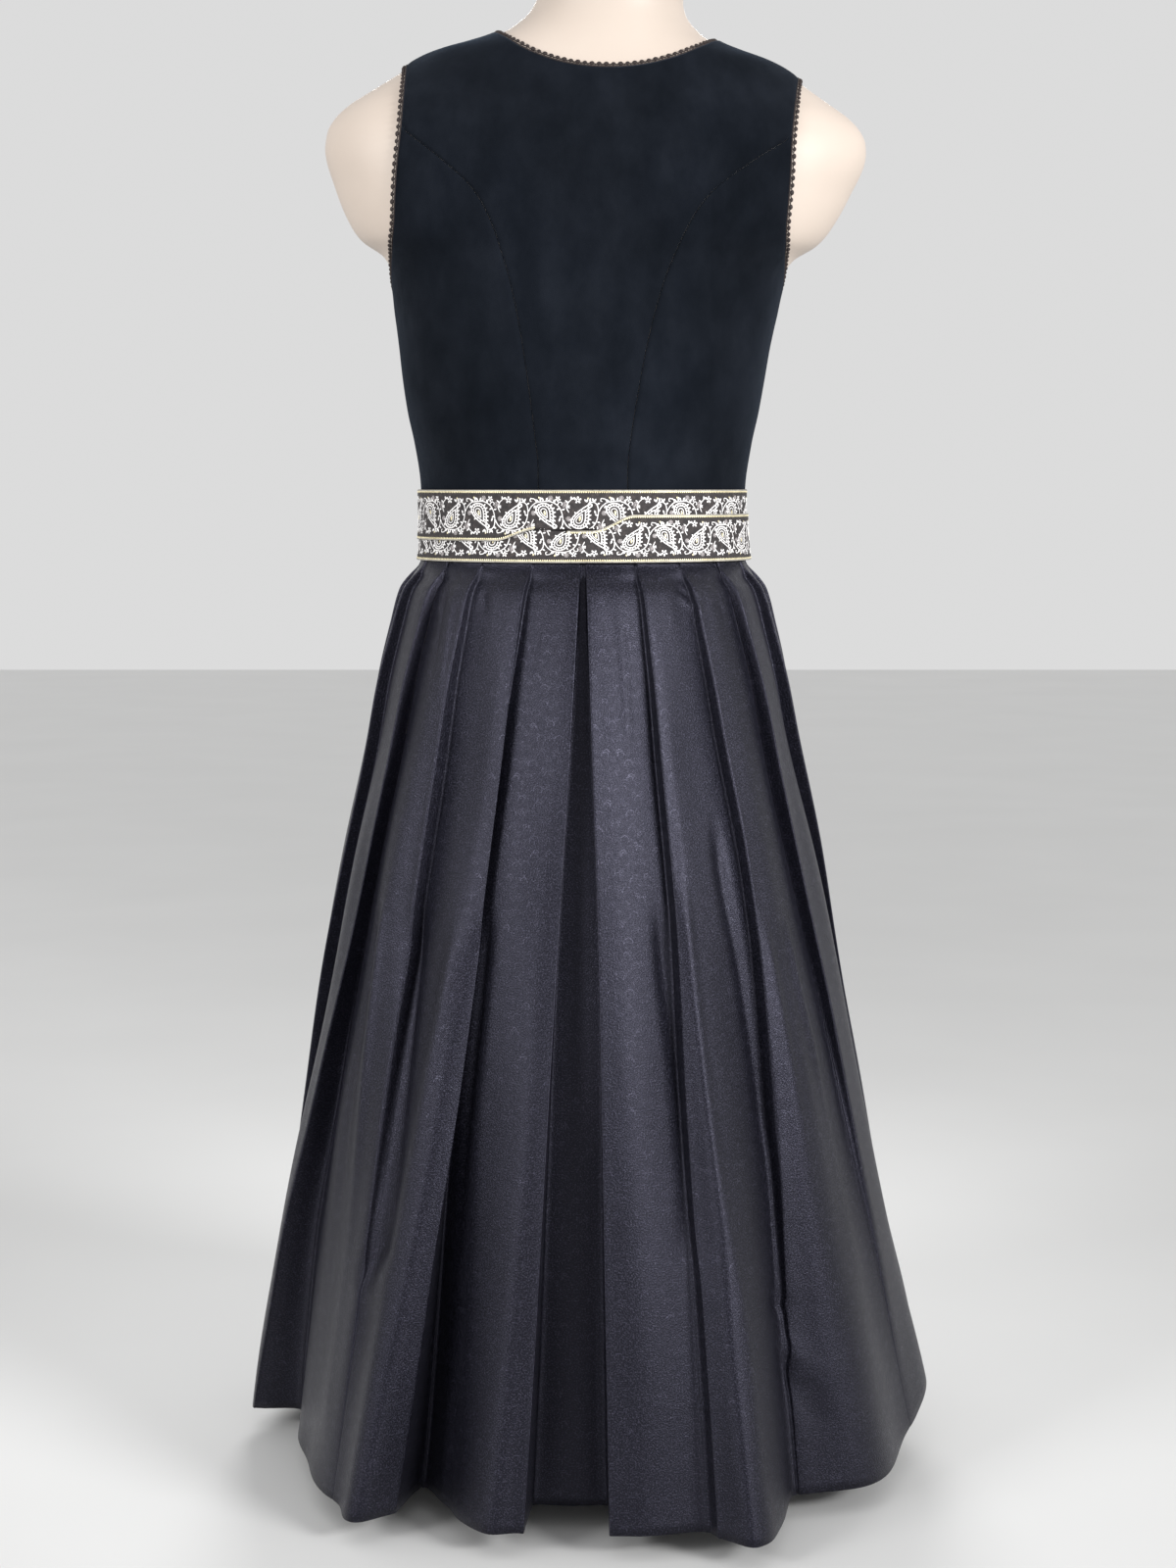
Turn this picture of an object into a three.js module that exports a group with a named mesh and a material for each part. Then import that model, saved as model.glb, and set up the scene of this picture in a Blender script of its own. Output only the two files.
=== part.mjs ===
// A sleeveless dirndl on a limbless dress form.
// Millimetres, +Z up, floor at z = 0. The back of the dress faces +Y, its wearer's left is +X.
// Angles go round the body from the centre back: 0 is the back, 90 degrees a side, 180 the front.
import * as THREE from 'three';

// ---------------------------------------------------------------- driving dimensions
const HEM_HEIGHT = 20;            // hem above the floor
const WAIST_SEAM = 738;           // height of the seam between bodice and skirt
const UNDERARM = 938;             // lowest point of the armhole
const SHOULDER_TIP = 1106;        // highest point of the armhole, on the shoulder line
const SHOULDER_TIP_HALF = 152;    // shoulder tip to the centre line
const NECK_POINT_HALF = 88;       // neck point to the centre line, on the shoulder line
const NAPE = 1100;                // lowest point of the back neckline
const FRONT_NECK = 985;           // lowest point of the front neckline
const SEAM_GAP = 0.4;             // between two pieces that are sewn together
const FORM_CLEARANCE = 1;         // between the figure's surface and the cloth
const FORM_INSET = 1;             // between the figure's surface and the dress form
const BODICE_WALL = 1.8;          // velvet
const SKIRT_WALL = 1.4;           // satin jacquard
const RIBBON_WALL = 1.0;
const RIBBON_GAP = 0.45;          // under each pass of the belt
const TRIM_GAP = 0.6;             // between a cloth edge and its trim
const TRIM_WIDTH = 4;             // picot braid that stands beyond the cloth's edge
const TRIM_WALL = 1.6;
const BASE_RADIUS = 130;
const BASE_HEIGHT = 14;
const BASE_EDGE = 3;
const POLE_RADIUS = 16;
const SEAT_GAP = 0.3;             // between the parts of the stand

const DEGREE = Math.PI / 180;
const QUARTER = Math.PI / 2;
const LEFT = 1;
const RIGHT = -1;

// Level sections of the figure: half width, depth to the front and to the back.
const FIGURE_SECTIONS = [
  { z: 560, half: 141, front: 94, back: 108 },
  { z: 600, half: 145, front: 98, back: 111 },
  { z: 650, half: 141, front: 98, back: 106 },
  { z: 690, half: 134, front: 96, back: 99 },
  { z: 725, half: 127, front: 95, back: 94 },
  { z: 752, half: 125.5, front: 95, back: 92 },
  { z: 787, half: 127, front: 97, back: 92.5 },
  { z: 818, half: 131.5, front: 100, back: 95 },
  { z: 843, half: 137, front: 104, back: 98 },
  { z: 870, half: 141.5, front: 107, back: 101 },
  { z: 895, half: 145, front: 109, back: 103 },
  { z: 918, half: 149, front: 110, back: 105 },
  { z: 938, half: 152, front: 110, back: 106 },
  { z: 950, half: 155, front: 109, back: 106 },
  { z: 963, half: 163, front: 108, back: 106 },
  { z: 975, half: 181, front: 106, back: 106 },
  { z: 986, half: 190, front: 104, back: 106 },
  { z: 1012, half: 203, front: 98, back: 104 },
  { z: 1046, half: 214, front: 84, back: 98 },
  { z: 1056, half: 213, front: 78, back: 95 },
  { z: 1066, half: 208, front: 72, back: 91 },
  { z: 1076, half: 198, front: 66, back: 87 },
  { z: 1086, half: 183, front: 60, back: 82 },
  { z: 1095, half: 169, front: 55, back: 79 },
  { z: 1106, half: 152, front: 49, back: 74 },
  { z: 1112, half: 142, front: 47, back: 71 },
  { z: 1117, half: 130, front: 46, back: 69 },
  { z: 1122, half: 113, front: 46, back: 67 },
  { z: 1128, half: 95, front: 47, back: 65 },
  { z: 1137, half: 77, front: 49, back: 62 },
  { z: 1152, half: 62, front: 51, back: 58 },
  { z: 1163, half: 58, front: 52, back: 57 },
  { z: 1180, half: 57, front: 53, back: 56 },
  { z: 1186, half: 52, front: 48, back: 51 },
];
// The body leans to its right above the first height: how far it moves over at the second height,
// and how far its left rises for each millimetre from the centre line.
const LEAN = { from: 800, at: 1150, over: -20, rise: 0.042 };
// Room for the bust, which the darts of the front seams give the bodice.
const BUST = { apart: 78, z: 912, depth: 17, wide: 48, high: 54, fadeIn: 2 };

// Half distance of the curved back and front seams from the centre line.
const BACK_SEAM = [
  { z: 738, x: 33.4 },
  { z: 800, x: 34 },
  { z: 828, x: 37 },
  { z: 856, x: 41 },
  { z: 884, x: 45.5 },
  { z: 912, x: 51 },
  { z: 938, x: 57.5 },
  { z: 963, x: 66 },
  { z: 986, x: 76 },
  { z: 1006, x: 89 },
  { z: 1030, x: 117 },
  { z: 1054, x: 151 },
];
const FRONT_SEAM = [
  { z: 738, x: 38 },
  { z: 800, x: 46 },
  { z: 856, x: 60 },
  { z: 912, x: 77 },
  { z: 948, x: 90 },
  { z: 978, x: 114 },
  { z: 1006, x: 144 },
];
// How far the armhole reaches behind and in front of the side, and how pointed its lower half and
// its two upper quarters are.
const ARMHOLE = { back: 73, front: 68, lowerPower: 1.35, backPower: 0.8, frontPower: 1.3 };
// How square the back and the front of the neckline are.
const NECKLINE = { backPower: 2.2, frontPower: 3.4 };
// Heights of the cloth's grid that all bodice pieces share, from the waist seam to the shoulder tip.
const BODICE_LEVELS = [
  WAIST_SEAM + SEAM_GAP, 762, 787, 818, 843, 870, 895, 918, UNDERARM,
  941, 948, 958, 969, 983, 1006, 1030, 1054, 1072, 1086, 1096, 1102, 1105, SHOULDER_TIP,
];
const BACK_SEAM_TOP = 1054;       // level where the back seam runs into the armhole
const FRONT_SEAM_TOP = 1006;      // level where the front seam runs into the armhole
const SEAM_TIP = 3;               // width of a side piece at its upper end
// Columns of a centre piece: shares of the neckline's half width, then of the shoulder's width. They
// spread out below the neckline between two levels and stand upright above them.
const NECK_SHARES = [0, 0.33, 0.6, 0.79, 0.92, 0.976, 0.995, 1];
const SHOULDER_SHARES = [0.33, 0.67, 1];
const NECK_COLUMNS_AT_WAIST = 0.7; // share of a centre piece's half width
const COLUMNS_SPREAD = { backFrom: 1010, backTo: 1080, frontFrom: 915, frontTo: 983 };
const SIDE_STEPS = 6;             // columns of a side piece

// The belt is one ribbon that goes round twice. Each pass is 40 mm wide.
const BELT = {
  top: 782, upperLow: 742, lowerHigh: 763, low: 725.5,
  crossHeight: 751, crossGap: 0.6,
  crossFrom: -3, crossTo: 7,      // degrees from the centre back where the passes change over
  ramp: 15,                       // degrees over which a pass spreads to its full width again
  pleatRoom: 2.1,                 // how far its lower edge stands out over the pleats
  steps: 56, rows: 2,
};

// Level sections of the skirt without its folds.
const SKIRT_SECTIONS = [
  { z: 738, half: 129.3, front: 98.3, back: 96.2 },
  { z: 725, half: 130, front: 98.6, back: 97.4 },
  { z: 715, half: 137, front: 105, back: 106 },
  { z: 703, half: 146, front: 113, back: 116 },
  { z: 675, half: 154.5, front: 124, back: 128 },
  { z: 633, half: 165.5, front: 138, back: 142 },
  { z: 580, half: 176, front: 152, back: 156 },
  { z: 502, half: 193, front: 172, back: 176 },
  { z: 420, half: 209, front: 192, back: 195 },
  { z: 325, half: 227.5, front: 216, back: 218 },
  { z: 220, half: 247, front: 240, back: 241 },
  { z: 120, half: 266, front: 260, back: 260 },
  { z: HEM_HEIGHT, half: 285, front: 277, back: 277 },
];
// Three heights at which the folds are given, and how proud a fold's edge stands at the waist.
const FOLD_LEVELS = { waist: 725, middle: 420, hem: HEM_HEIGHT };
const WAIST_FOLD = 0.9;
// Folds of each half, from the centre back to the centre front. waist, middle and hem are the
// edge's angle; lip is how far the edge stands out, and tuck the cloth that goes in under it;
// crest is a soft ridge in the cloth after the edge, at that share of its width; under is how far
// the tuck reaches behind the edge at the hem, in degrees. faces says which way the edge looks.
const LEFT_FOLDS = [
  { faces: 'back', waist: 0.7, middle: 5.4, hem: 9, lipMiddle: -1, lipHem: -9, tuckMiddle: -26,
    tuckHem: -68, crestMiddle: 2, crestHem: 20, crestAt: 0.22, under: 1 },
  { faces: 'back', waist: 17.3, middle: 22.8, hem: 31, lipMiddle: -2, lipHem: -12, tuckMiddle: -17,
    tuckHem: -76, crestMiddle: 4, crestHem: 28, crestAt: 0.25, under: 4.5 },
  { faces: 'back', waist: 36.7, middle: 41.6, hem: 43, lipMiddle: -2, lipHem: -6, tuckMiddle: -15,
    tuckHem: -8, crestMiddle: 6, crestHem: -12, crestAt: 0.4, under: 0 },
  { faces: 'back', waist: 54, middle: 63, hem: 91, lipMiddle: -2, lipHem: -6, tuckMiddle: -18,
    tuckHem: -57, crestMiddle: 3, crestHem: 12, crestAt: 0.35, under: 1.5 },
  { faces: 'back', waist: 73, middle: 85, hem: 109, lipMiddle: -2, lipHem: -8, tuckMiddle: -14,
    tuckHem: -42, crestMiddle: 3, crestHem: 10, crestAt: 0.35, under: 1 },
  { faces: 'back', waist: 92, middle: 104, hem: 127, lipMiddle: -2, lipHem: -8, tuckMiddle: -13,
    tuckHem: -38, crestMiddle: 2, crestHem: 8, crestAt: 0.5, under: 1 },
  { faces: 'front', waist: 118, middle: 126, hem: 141, lipMiddle: -2, lipHem: -10, tuckMiddle: -14,
    tuckHem: -40, crestMiddle: 2, crestHem: 10, crestAt: 0.6, under: 1 },
  { faces: 'front', waist: 138, middle: 143, hem: 152, lipMiddle: -2, lipHem: -9, tuckMiddle: -14,
    tuckHem: -34, crestMiddle: 2, crestHem: 6, crestAt: 0.6, under: 1 },
  { faces: 'front', waist: 158, middle: 160, hem: 163, lipMiddle: -2, lipHem: -8, tuckMiddle: -13,
    tuckHem: -30, crestMiddle: 0, crestHem: 10, crestAt: 0.7, under: 1 },
];
const RIGHT_FOLDS = [
  { faces: 'back', waist: 0.9, middle: 3.2, hem: 4, lipMiddle: -1, lipHem: -6, tuckMiddle: -26,
    tuckHem: -68, crestMiddle: 2, crestHem: 4, crestAt: 0.4, under: 1 },
  { faces: 'back', waist: 18, middle: 20.6, hem: 19.3, lipMiddle: -2, lipHem: 14, tuckMiddle: -15,
    tuckHem: -4, crestMiddle: 4, crestHem: 35, crestAt: 0.17, under: 0 },
  { faces: 'back', waist: 35, middle: 41.2, hem: 40, lipMiddle: -2, lipHem: -29, tuckMiddle: -16,
    tuckHem: -38, crestMiddle: 5, crestHem: 20, crestAt: 0.36, under: 0.5 },
  { faces: 'back', waist: 53.5, middle: 64, hem: 73, lipMiddle: -2, lipHem: -15, tuckMiddle: -15,
    tuckHem: -24, crestMiddle: 3, crestHem: 4, crestAt: 0.4, under: 0.5 },
  { faces: 'back', waist: 73, middle: 86, hem: 94, lipMiddle: -2, lipHem: -2, tuckMiddle: -14,
    tuckHem: -30, crestMiddle: 3, crestHem: 12, crestAt: 0.3, under: 1 },
  { faces: 'back', waist: 92, middle: 105, hem: 121, lipMiddle: -2, lipHem: -8, tuckMiddle: -13,
    tuckHem: -38, crestMiddle: 2, crestHem: 8, crestAt: 0.5, under: 1 },
  { faces: 'front', waist: 118, middle: 126, hem: 139, lipMiddle: -2, lipHem: -10, tuckMiddle: -14,
    tuckHem: -40, crestMiddle: 2, crestHem: 10, crestAt: 0.6, under: 1 },
  { faces: 'front', waist: 138, middle: 143, hem: 151, lipMiddle: -2, lipHem: -9, tuckMiddle: -14,
    tuckHem: -34, crestMiddle: 2, crestHem: 6, crestAt: 0.6, under: 1 },
  { faces: 'front', waist: 158, middle: 160, hem: 163, lipMiddle: -2, lipHem: -8, tuckMiddle: -13,
    tuckHem: -30, crestMiddle: 0, crestHem: 10, crestAt: 0.7, under: 1 },
];
// The hem kicks up at the right side: angle of the place, its reach in degrees, the rise, and the
// height up to which the cloth above follows.
const HEM_KICK = { turn: 98, wide: 24, rise: 46, from: 260 };
const SKIRT_LEVELS = [738, 725, 715, 703, 675, 633, 580, 502, 420, 325, 220, 120, HEM_HEIGHT];
// Each skirt width starts in the tuck of these folds, counted from the centre back.
const SIDE_SEAM_FOLD = 3;
const FRONT_SEAM_FOLD = 6;
const FOLD_STEPS = 4;             // columns across the cloth between two folds
const FORM_STEPS = 28;            // columns round the dress form
const ROUND_STEPS = 48;           // sides of the pole and the base

// ---------------------------------------------------------------- curves through tables
// Smooth curves, without overshoot, through the columns of a table: curves.column(at).
function curvesOf(rows, key) {
  const ordered = [...rows].sort((a, b) => a[key] - b[key]);
  const at = ordered.map((row) => row[key]);
  const curves = {};
  for (const column of Object.keys(rows[0])) {
    if (column === key || typeof rows[0][column] !== 'number') continue;
    const value = ordered.map((row) => row[column]);
    const rise = value.slice(1).map((v, i) => (v - value[i]) / (at[i + 1] - at[i]));
    const slope = value.map((v, i) => {
      if (i === 0) return rise[0];
      if (i === rise.length) return rise[i - 1];
      if (rise[i - 1] * rise[i] <= 0) return 0;
      return 2 * rise[i - 1] * rise[i] / (rise[i - 1] + rise[i]);
    });
    curves[column] = (x) => {
      if (x <= at[0]) return value[0];
      if (x >= at[at.length - 1]) return value[at.length - 1];
      const i = at.findIndex((_, k) => x <= at[k + 1]);
      const width = at[i + 1] - at[i];
      const t = (x - at[i]) / width;
      const s = 1 - t;
      return value[i] * s * s * (1 + 2 * t) + value[i + 1] * t * t * (3 - 2 * t)
        + slope[i] * width * t * s * s - slope[i + 1] * width * t * t * s;
    };
  }
  return curves;
}

const smooth = (t) => THREE.MathUtils.smoothstep(t, 0, 1);
const between = THREE.MathUtils.lerp;

// ---------------------------------------------------------------- closed solids from points
function orientedGeometry(points, triangles) {
  let volume = 0;
  for (const [a, b, c] of triangles) {
    volume += points[a].dot(new THREE.Vector3().crossVectors(points[b], points[c]));
  }
  const faces = volume > 0 ? triangles : triangles.map(([a, b, c]) => [a, c, b]);
  const geometry = new THREE.BufferGeometry();
  geometry.setFromPoints(points);
  geometry.setIndex(faces.flat());
  geometry.computeVertexNormals();
  return geometry;
}

// A wall between an outer and an inner grid of points, closed along its four edges.
function wallGeometry(outer, inner) {
  const rows = outer.length;
  const columns = outer[0].length;
  const points = [...outer.flat(), ...inner.flat()];
  const inside = rows * columns;
  const triangles = [];
  const quad = (a, b, c, d) => triangles.push([a, b, c], [a, c, d]);
  for (let r = 0; r + 1 < rows; r += 1) {
    for (let c = 0; c + 1 < columns; c += 1) {
      const corner = r * columns + c;
      quad(corner, corner + 1, corner + columns + 1, corner + columns);
      const back = inside + corner;
      quad(back, back + columns, back + columns + 1, back + 1);
    }
  }
  for (let c = 0; c + 1 < columns; c += 1) {
    const last = (rows - 1) * columns + c;
    quad(c, inside + c, inside + c + 1, c + 1);
    quad(last, last + 1, inside + last + 1, inside + last);
  }
  for (let r = 0; r + 1 < rows; r += 1) {
    const first = r * columns;
    const last = first + columns - 1;
    quad(first, first + columns, inside + first + columns, inside + first);
    quad(last, inside + last, inside + last + columns, last + columns);
  }
  return orientedGeometry(points, triangles);
}

// A closed band: each section is a loop of points, and the last section meets the first.
function bandGeometry(sections) {
  const around = sections[0].length;
  const triangles = [];
  for (let i = 0; i < sections.length; i += 1) {
    for (let k = 0; k < around; k += 1) {
      const here = i * around;
      const next = ((i + 1) % sections.length) * around;
      const turn = (k + 1) % around;
      triangles.push([here + k, next + k, next + turn], [here + k, next + turn, here + turn]);
    }
  }
  return orientedGeometry(sections.flat(), triangles);
}

// A solid through level rings of points, closed by flat caps.
function loftGeometry(rings) {
  const around = rings[0].length;
  const points = rings.flat();
  const triangles = [];
  for (let r = 0; r + 1 < rings.length; r += 1) {
    for (let k = 0; k < around; k += 1) {
      const here = r * around;
      const turn = (k + 1) % around;
      triangles.push([here + k, here + turn, here + around + turn]);
      triangles.push([here + k, here + around + turn, here + around + k]);
    }
  }
  const top = (rings.length - 1) * around;
  for (let k = 1; k + 1 < around; k += 1) {
    triangles.push([0, k + 1, k], [top, top + k, top + k + 1]);
  }
  return orientedGeometry(points, triangles);
}

// ---------------------------------------------------------------- figure and dress form
const figure = curvesOf(FIGURE_SECTIONS, 'z');
const FIGURE_TOP = FIGURE_SECTIONS[FIGURE_SECTIONS.length - 1].z;

// Moves an upright piece of the body to where the leaning body holds it.
function leaning(geometry) {
  const position = geometry.getAttribute('position');
  for (let i = 0; i < position.count; i += 1) {
    const [x, z] = [position.getX(i), position.getZ(i)];
    const share = Math.max(0, (z - LEAN.from) / (LEAN.at - LEAN.from)) ** 2;
    position.setX(i, x + LEAN.over * share);
    position.setZ(i, z + LEAN.rise * x * share);
  }
  return geometry;
}

function figurePoint(angle, z, inset = 0) {
  const side = Math.sin(angle);
  const back = Math.cos(angle);
  const x = (figure.half(z) - inset) * side;
  let y = ((back >= 0 ? figure.back(z) : figure.front(z)) - inset) * back;
  if (back < 0) {
    const across = (Math.abs(x) - BUST.apart) / BUST.wide;
    const up = (z - BUST.z) / BUST.high;
    y -= BUST.depth * Math.exp(-across * across - up * up) * smooth(-BUST.fadeIn * back);
  }
  return new THREE.Vector3(x, y, z);
}

// A point moved out from the figure's surface.
function shellPoint(angle, z, out) {
  const step = 0.002;
  const rise = 0.2;
  const along = figurePoint(angle + step, z).sub(figurePoint(angle - step, z));
  const up = figurePoint(angle, z + rise).sub(figurePoint(angle, z - rise));
  const normal = up.cross(along).normalize();
  return figurePoint(angle, z).addScaledVector(normal, out);
}

function dressFormGeometry() {
  const rings = FIGURE_SECTIONS.map(({ z }) => {
    const ring = [];
    for (let k = 0; k < FORM_STEPS; k += 1) {
      ring.push(figurePoint(k * 2 * Math.PI / FORM_STEPS, z, FORM_INSET));
    }
    return ring;
  });
  return leaning(loftGeometry(rings));
}

function baseGeometry() {
  const profile = [
    new THREE.Vector2(0, 0),
    new THREE.Vector2(BASE_RADIUS, 0),
    new THREE.Vector2(BASE_RADIUS, BASE_HEIGHT - BASE_EDGE),
    new THREE.Vector2(BASE_RADIUS - BASE_EDGE, BASE_HEIGHT),
    new THREE.Vector2(0, BASE_HEIGHT),
  ];
  return new THREE.LatheGeometry(profile, ROUND_STEPS).rotateX(QUARTER);
}

function poleGeometry() {
  const foot = BASE_HEIGHT + SEAT_GAP;
  const length = FIGURE_SECTIONS[0].z - SEAT_GAP - foot;
  const geometry = new THREE.CylinderGeometry(POLE_RADIUS, POLE_RADIUS, length, ROUND_STEPS / 2);
  return geometry.rotateX(QUARTER).translate(0, 0, foot + length / 2);
}

// ---------------------------------------------------------------- bodice
const backSeam = curvesOf(BACK_SEAM, 'z');
const frontSeam = curvesOf(FRONT_SEAM, 'z');
const faces = {
  back: {
    depth: figure.back, reach: ARMHOLE.back, seam: backSeam.x, seamTop: BACK_SEAM_TOP,
    neckLow: NAPE, neckPower: NECKLINE.backPower, armholePower: ARMHOLE.backPower,
    spreadFrom: COLUMNS_SPREAD.backFrom, spreadTo: COLUMNS_SPREAD.backTo,
  },
  front: {
    depth: figure.front, reach: ARMHOLE.front, seam: frontSeam.x, seamTop: FRONT_SEAM_TOP,
    neckLow: FRONT_NECK, neckPower: NECKLINE.frontPower, armholePower: ARMHOLE.frontPower,
    spreadFrom: COLUMNS_SPREAD.frontFrom, spreadTo: COLUMNS_SPREAD.frontTo,
  },
};

// Angle from the face's own centre line to the side seam or, above the underarm, to the armhole.
function edgeAngle(face, z) {
  if (z <= UNDERARM || z >= SHOULDER_TIP) return QUARTER;
  const middle = (UNDERARM + SHOULDER_TIP) / 2;
  const turn = Math.acos((middle - z) / (SHOULDER_TIP - middle));
  const power = z < middle ? ARMHOLE.lowerPower : face.armholePower;
  return Math.acos(face.reach * Math.sin(turn) ** power / face.depth(z));
}

const angleAtWidth = (x, z) => Math.asin(Math.min(1, x / figure.half(z)));

// Half width of a face's centre piece at a level.
function centreHalf(face, z) {
  const edge = figure.half(z) * Math.sin(edgeAngle(face, z));
  if (z > face.seamTop) return edge;
  return Math.min(face.seam(z), edge - SEAM_TIP) - SEAM_GAP / 2;
}

// Height at which the shoulder line stands at a distance from the centre line.
function shoulderHeight(x) {
  const closeEnough = 1e-6;
  let low = SHOULDER_TIP;
  let high = FIGURE_TOP;
  while (high - low > closeEnough) {
    const middle = (low + high) / 2;
    if (figure.half(middle) > x) low = middle;
    else high = middle;
  }
  return low;
}

const NECK_POINT = shoulderHeight(NECK_POINT_HALF);

function topHeight(face, x) {
  if (x >= NECK_POINT_HALF) return shoulderHeight(x);
  return face.neckLow + (NECK_POINT - face.neckLow) * (x / NECK_POINT_HALF) ** face.neckPower;
}

// Columns of a centre piece. top is the column's distance from the centre line at its upper end,
// neck its share of the neckline's half width and shoulder its share of the shoulder's width.
const CENTRE_COLUMNS = [
  ...NECK_SHARES.map((neck) => ({ neck, shoulder: 0, top: neck * NECK_POINT_HALF })),
  ...SHOULDER_SHARES.map((shoulder) => (
    { neck: 1, shoulder, top: between(NECK_POINT_HALF, SHOULDER_TIP_HALF, shoulder) }
  )),
];

// Angle on the whole body for an angle from a face's centre line, on the left or right side.
const bodyAngle = (face, side, angle) => side * (face === faces.back ? angle : Math.PI - angle);

// A grid point of a centre piece. The rows are level up to the underarm and then fan out to the
// piece's upper edge.
function centrePlace(face, column, level) {
  const fan = Math.max(0, (level - UNDERARM) / (SHOULDER_TIP - UNDERARM));
  const z = level + (topHeight(face, column.top) - SHOULDER_TIP) * fan;
  const upright = smooth((level - face.spreadFrom) / (face.spreadTo - face.spreadFrom));
  const edge = centreHalf(face, level);
  const neck = between(NECK_COLUMNS_AT_WAIST * edge, NECK_POINT_HALF, upright);
  const evenShare = NECK_SHARES.indexOf(column.neck) / (NECK_SHARES.length - 1);
  const x = between(neck * between(evenShare, column.neck, upright), edge, column.shoulder);
  const seamSlack = SEAM_GAP / 2 / face.depth(z);
  const angle = Math.min(angleAtWidth(x, z), QUARTER - seamSlack);
  return { angle, z };
}

function panelGeometry(place, rows, columns) {
  const grid = (out) => rows.map((row) => columns.map((column) => {
    const { angle, z } = place(row, column);
    return shellPoint(angle, z, out);
  }));
  return leaning(wallGeometry(grid(FORM_CLEARANCE + BODICE_WALL), grid(FORM_CLEARANCE)));
}

function backCentreGeometry() {
  const half = (side) => CENTRE_COLUMNS.map((column) => ({ side, column }));
  const columns = [...half(RIGHT).slice(1).reverse(), ...half(LEFT)];
  return panelGeometry((level, { side, column }) => {
    const { angle, z } = centrePlace(faces.back, column, level);
    return { angle: side * angle, z };
  }, BODICE_LEVELS, columns);
}

function frontCentreGeometry(side) {
  return panelGeometry((level, column) => {
    const { angle, z } = centrePlace(faces.front, column, level);
    const centreSlack = SEAM_GAP / 2 / figure.half(z);
    return { angle: bodyAngle(faces.front, side, Math.max(angle, centreSlack)), z };
  }, BODICE_LEVELS, CENTRE_COLUMNS);
}

function sidePieceGeometry(face, side) {
  const levels = BODICE_LEVELS.filter((level) => level <= face.seamTop);
  const steps = Array.from({ length: SIDE_STEPS + 1 }, (_, k) => k / SIDE_STEPS);
  return panelGeometry((z, step) => {
    const seam = angleAtWidth(centreHalf(face, z) + SEAM_GAP, z);
    const slack = z > UNDERARM ? 0 : SEAM_GAP / 2 / face.depth(z);
    const edge = edgeAngle(face, z) - slack;
    return { angle: bodyAngle(face, side, between(seam, edge, step)), z };
  }, levels, steps);
}

// ---------------------------------------------------------------- picot braid at the edges
// A flat band beside a closed edge on the body, on the side that inward points to.
function trimGeometry(edge, inward) {
  const points = edge.map(({ angle, z }) => figurePoint(angle, z));
  const sections = points.map((point, i) => {
    const next = points[(i + 1) % points.length];
    const last = points[(i + points.length - 1) % points.length];
    const along = next.clone().sub(last).normalize();
    const { angle, z } = edge[i];
    const normal = shellPoint(angle, z, 1).sub(point);
    const across = new THREE.Vector3().crossVectors(normal, along).normalize();
    if (across.dot(inward(point).sub(point)) < 0) across.negate();
    const sewn = point.clone().addScaledVector(across, TRIM_GAP);
    const free = point.clone().addScaledVector(across, TRIM_GAP + TRIM_WIDTH);
    const sewnCorner = (out) => sewn.clone().addScaledVector(normal, FORM_CLEARANCE + out);
    const freeCorner = (out) => shellPoint(onFigure(free), free.z, FORM_CLEARANCE + out);
    return [sewnCorner(0), freeCorner(0), freeCorner(TRIM_WALL), sewnCorner(TRIM_WALL)];
  });
  return leaning(bandGeometry(sections));
}

// Angle of the place on the form beside a point near its surface.
function onFigure(point) {
  const side = point.x / figure.half(point.z);
  const depth = point.y >= 0 ? figure.back(point.z) : figure.front(point.z);
  return Math.atan2(side, point.y / depth);
}

function armholeTrimGeometry(side) {
  const levels = BODICE_LEVELS.filter((level) => level >= UNDERARM);
  const up = levels.map((z) => ({ angle: bodyAngle(faces.back, side, edgeAngle(faces.back, z)), z }));
  const down = levels.slice(1, -1).reverse()
    .map((z) => ({ angle: bodyAngle(faces.front, side, edgeAngle(faces.front, z)), z }));
  const middle = (UNDERARM + SHOULDER_TIP) / 2;
  const centre = (point) => new THREE.Vector3(point.x, 0, middle);
  return trimGeometry([...up, ...down], centre);
}

function necklineTrimGeometry() {
  const columns = CENTRE_COLUMNS.slice(0, NECK_SHARES.length);
  const place = (face, side) => ({ top }) => {
    const z = topHeight(face, top);
    return { angle: bodyAngle(face, side, angleAtWidth(top, z)), z };
  };
  const edge = [
    ...columns.map(place(faces.back, LEFT)),
    ...columns.slice(0, -1).reverse().map(place(faces.front, LEFT)),
    ...columns.slice(1).map(place(faces.front, RIGHT)),
    ...columns.slice(1, -1).reverse().map(place(faces.back, RIGHT)),
  ];
  const centre = () => new THREE.Vector3(0, 0, FIGURE_TOP);
  return trimGeometry(edge, centre);
}

// ---------------------------------------------------------------- belt
// How far the passes have changed over at an angle in degrees: 0 on the right, 1 on the left.
const changeOver = (turn) => smooth((turn - BELT.crossFrom) / (BELT.crossTo - BELT.crossFrom));

// How far from the crossing an angle is: 0 within it, 1 where the passes have their full width.
function spread(turn) {
  const beyond = Math.max(BELT.crossFrom - turn, turn - BELT.crossTo, 0);
  return smooth(beyond / BELT.ramp);
}

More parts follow.
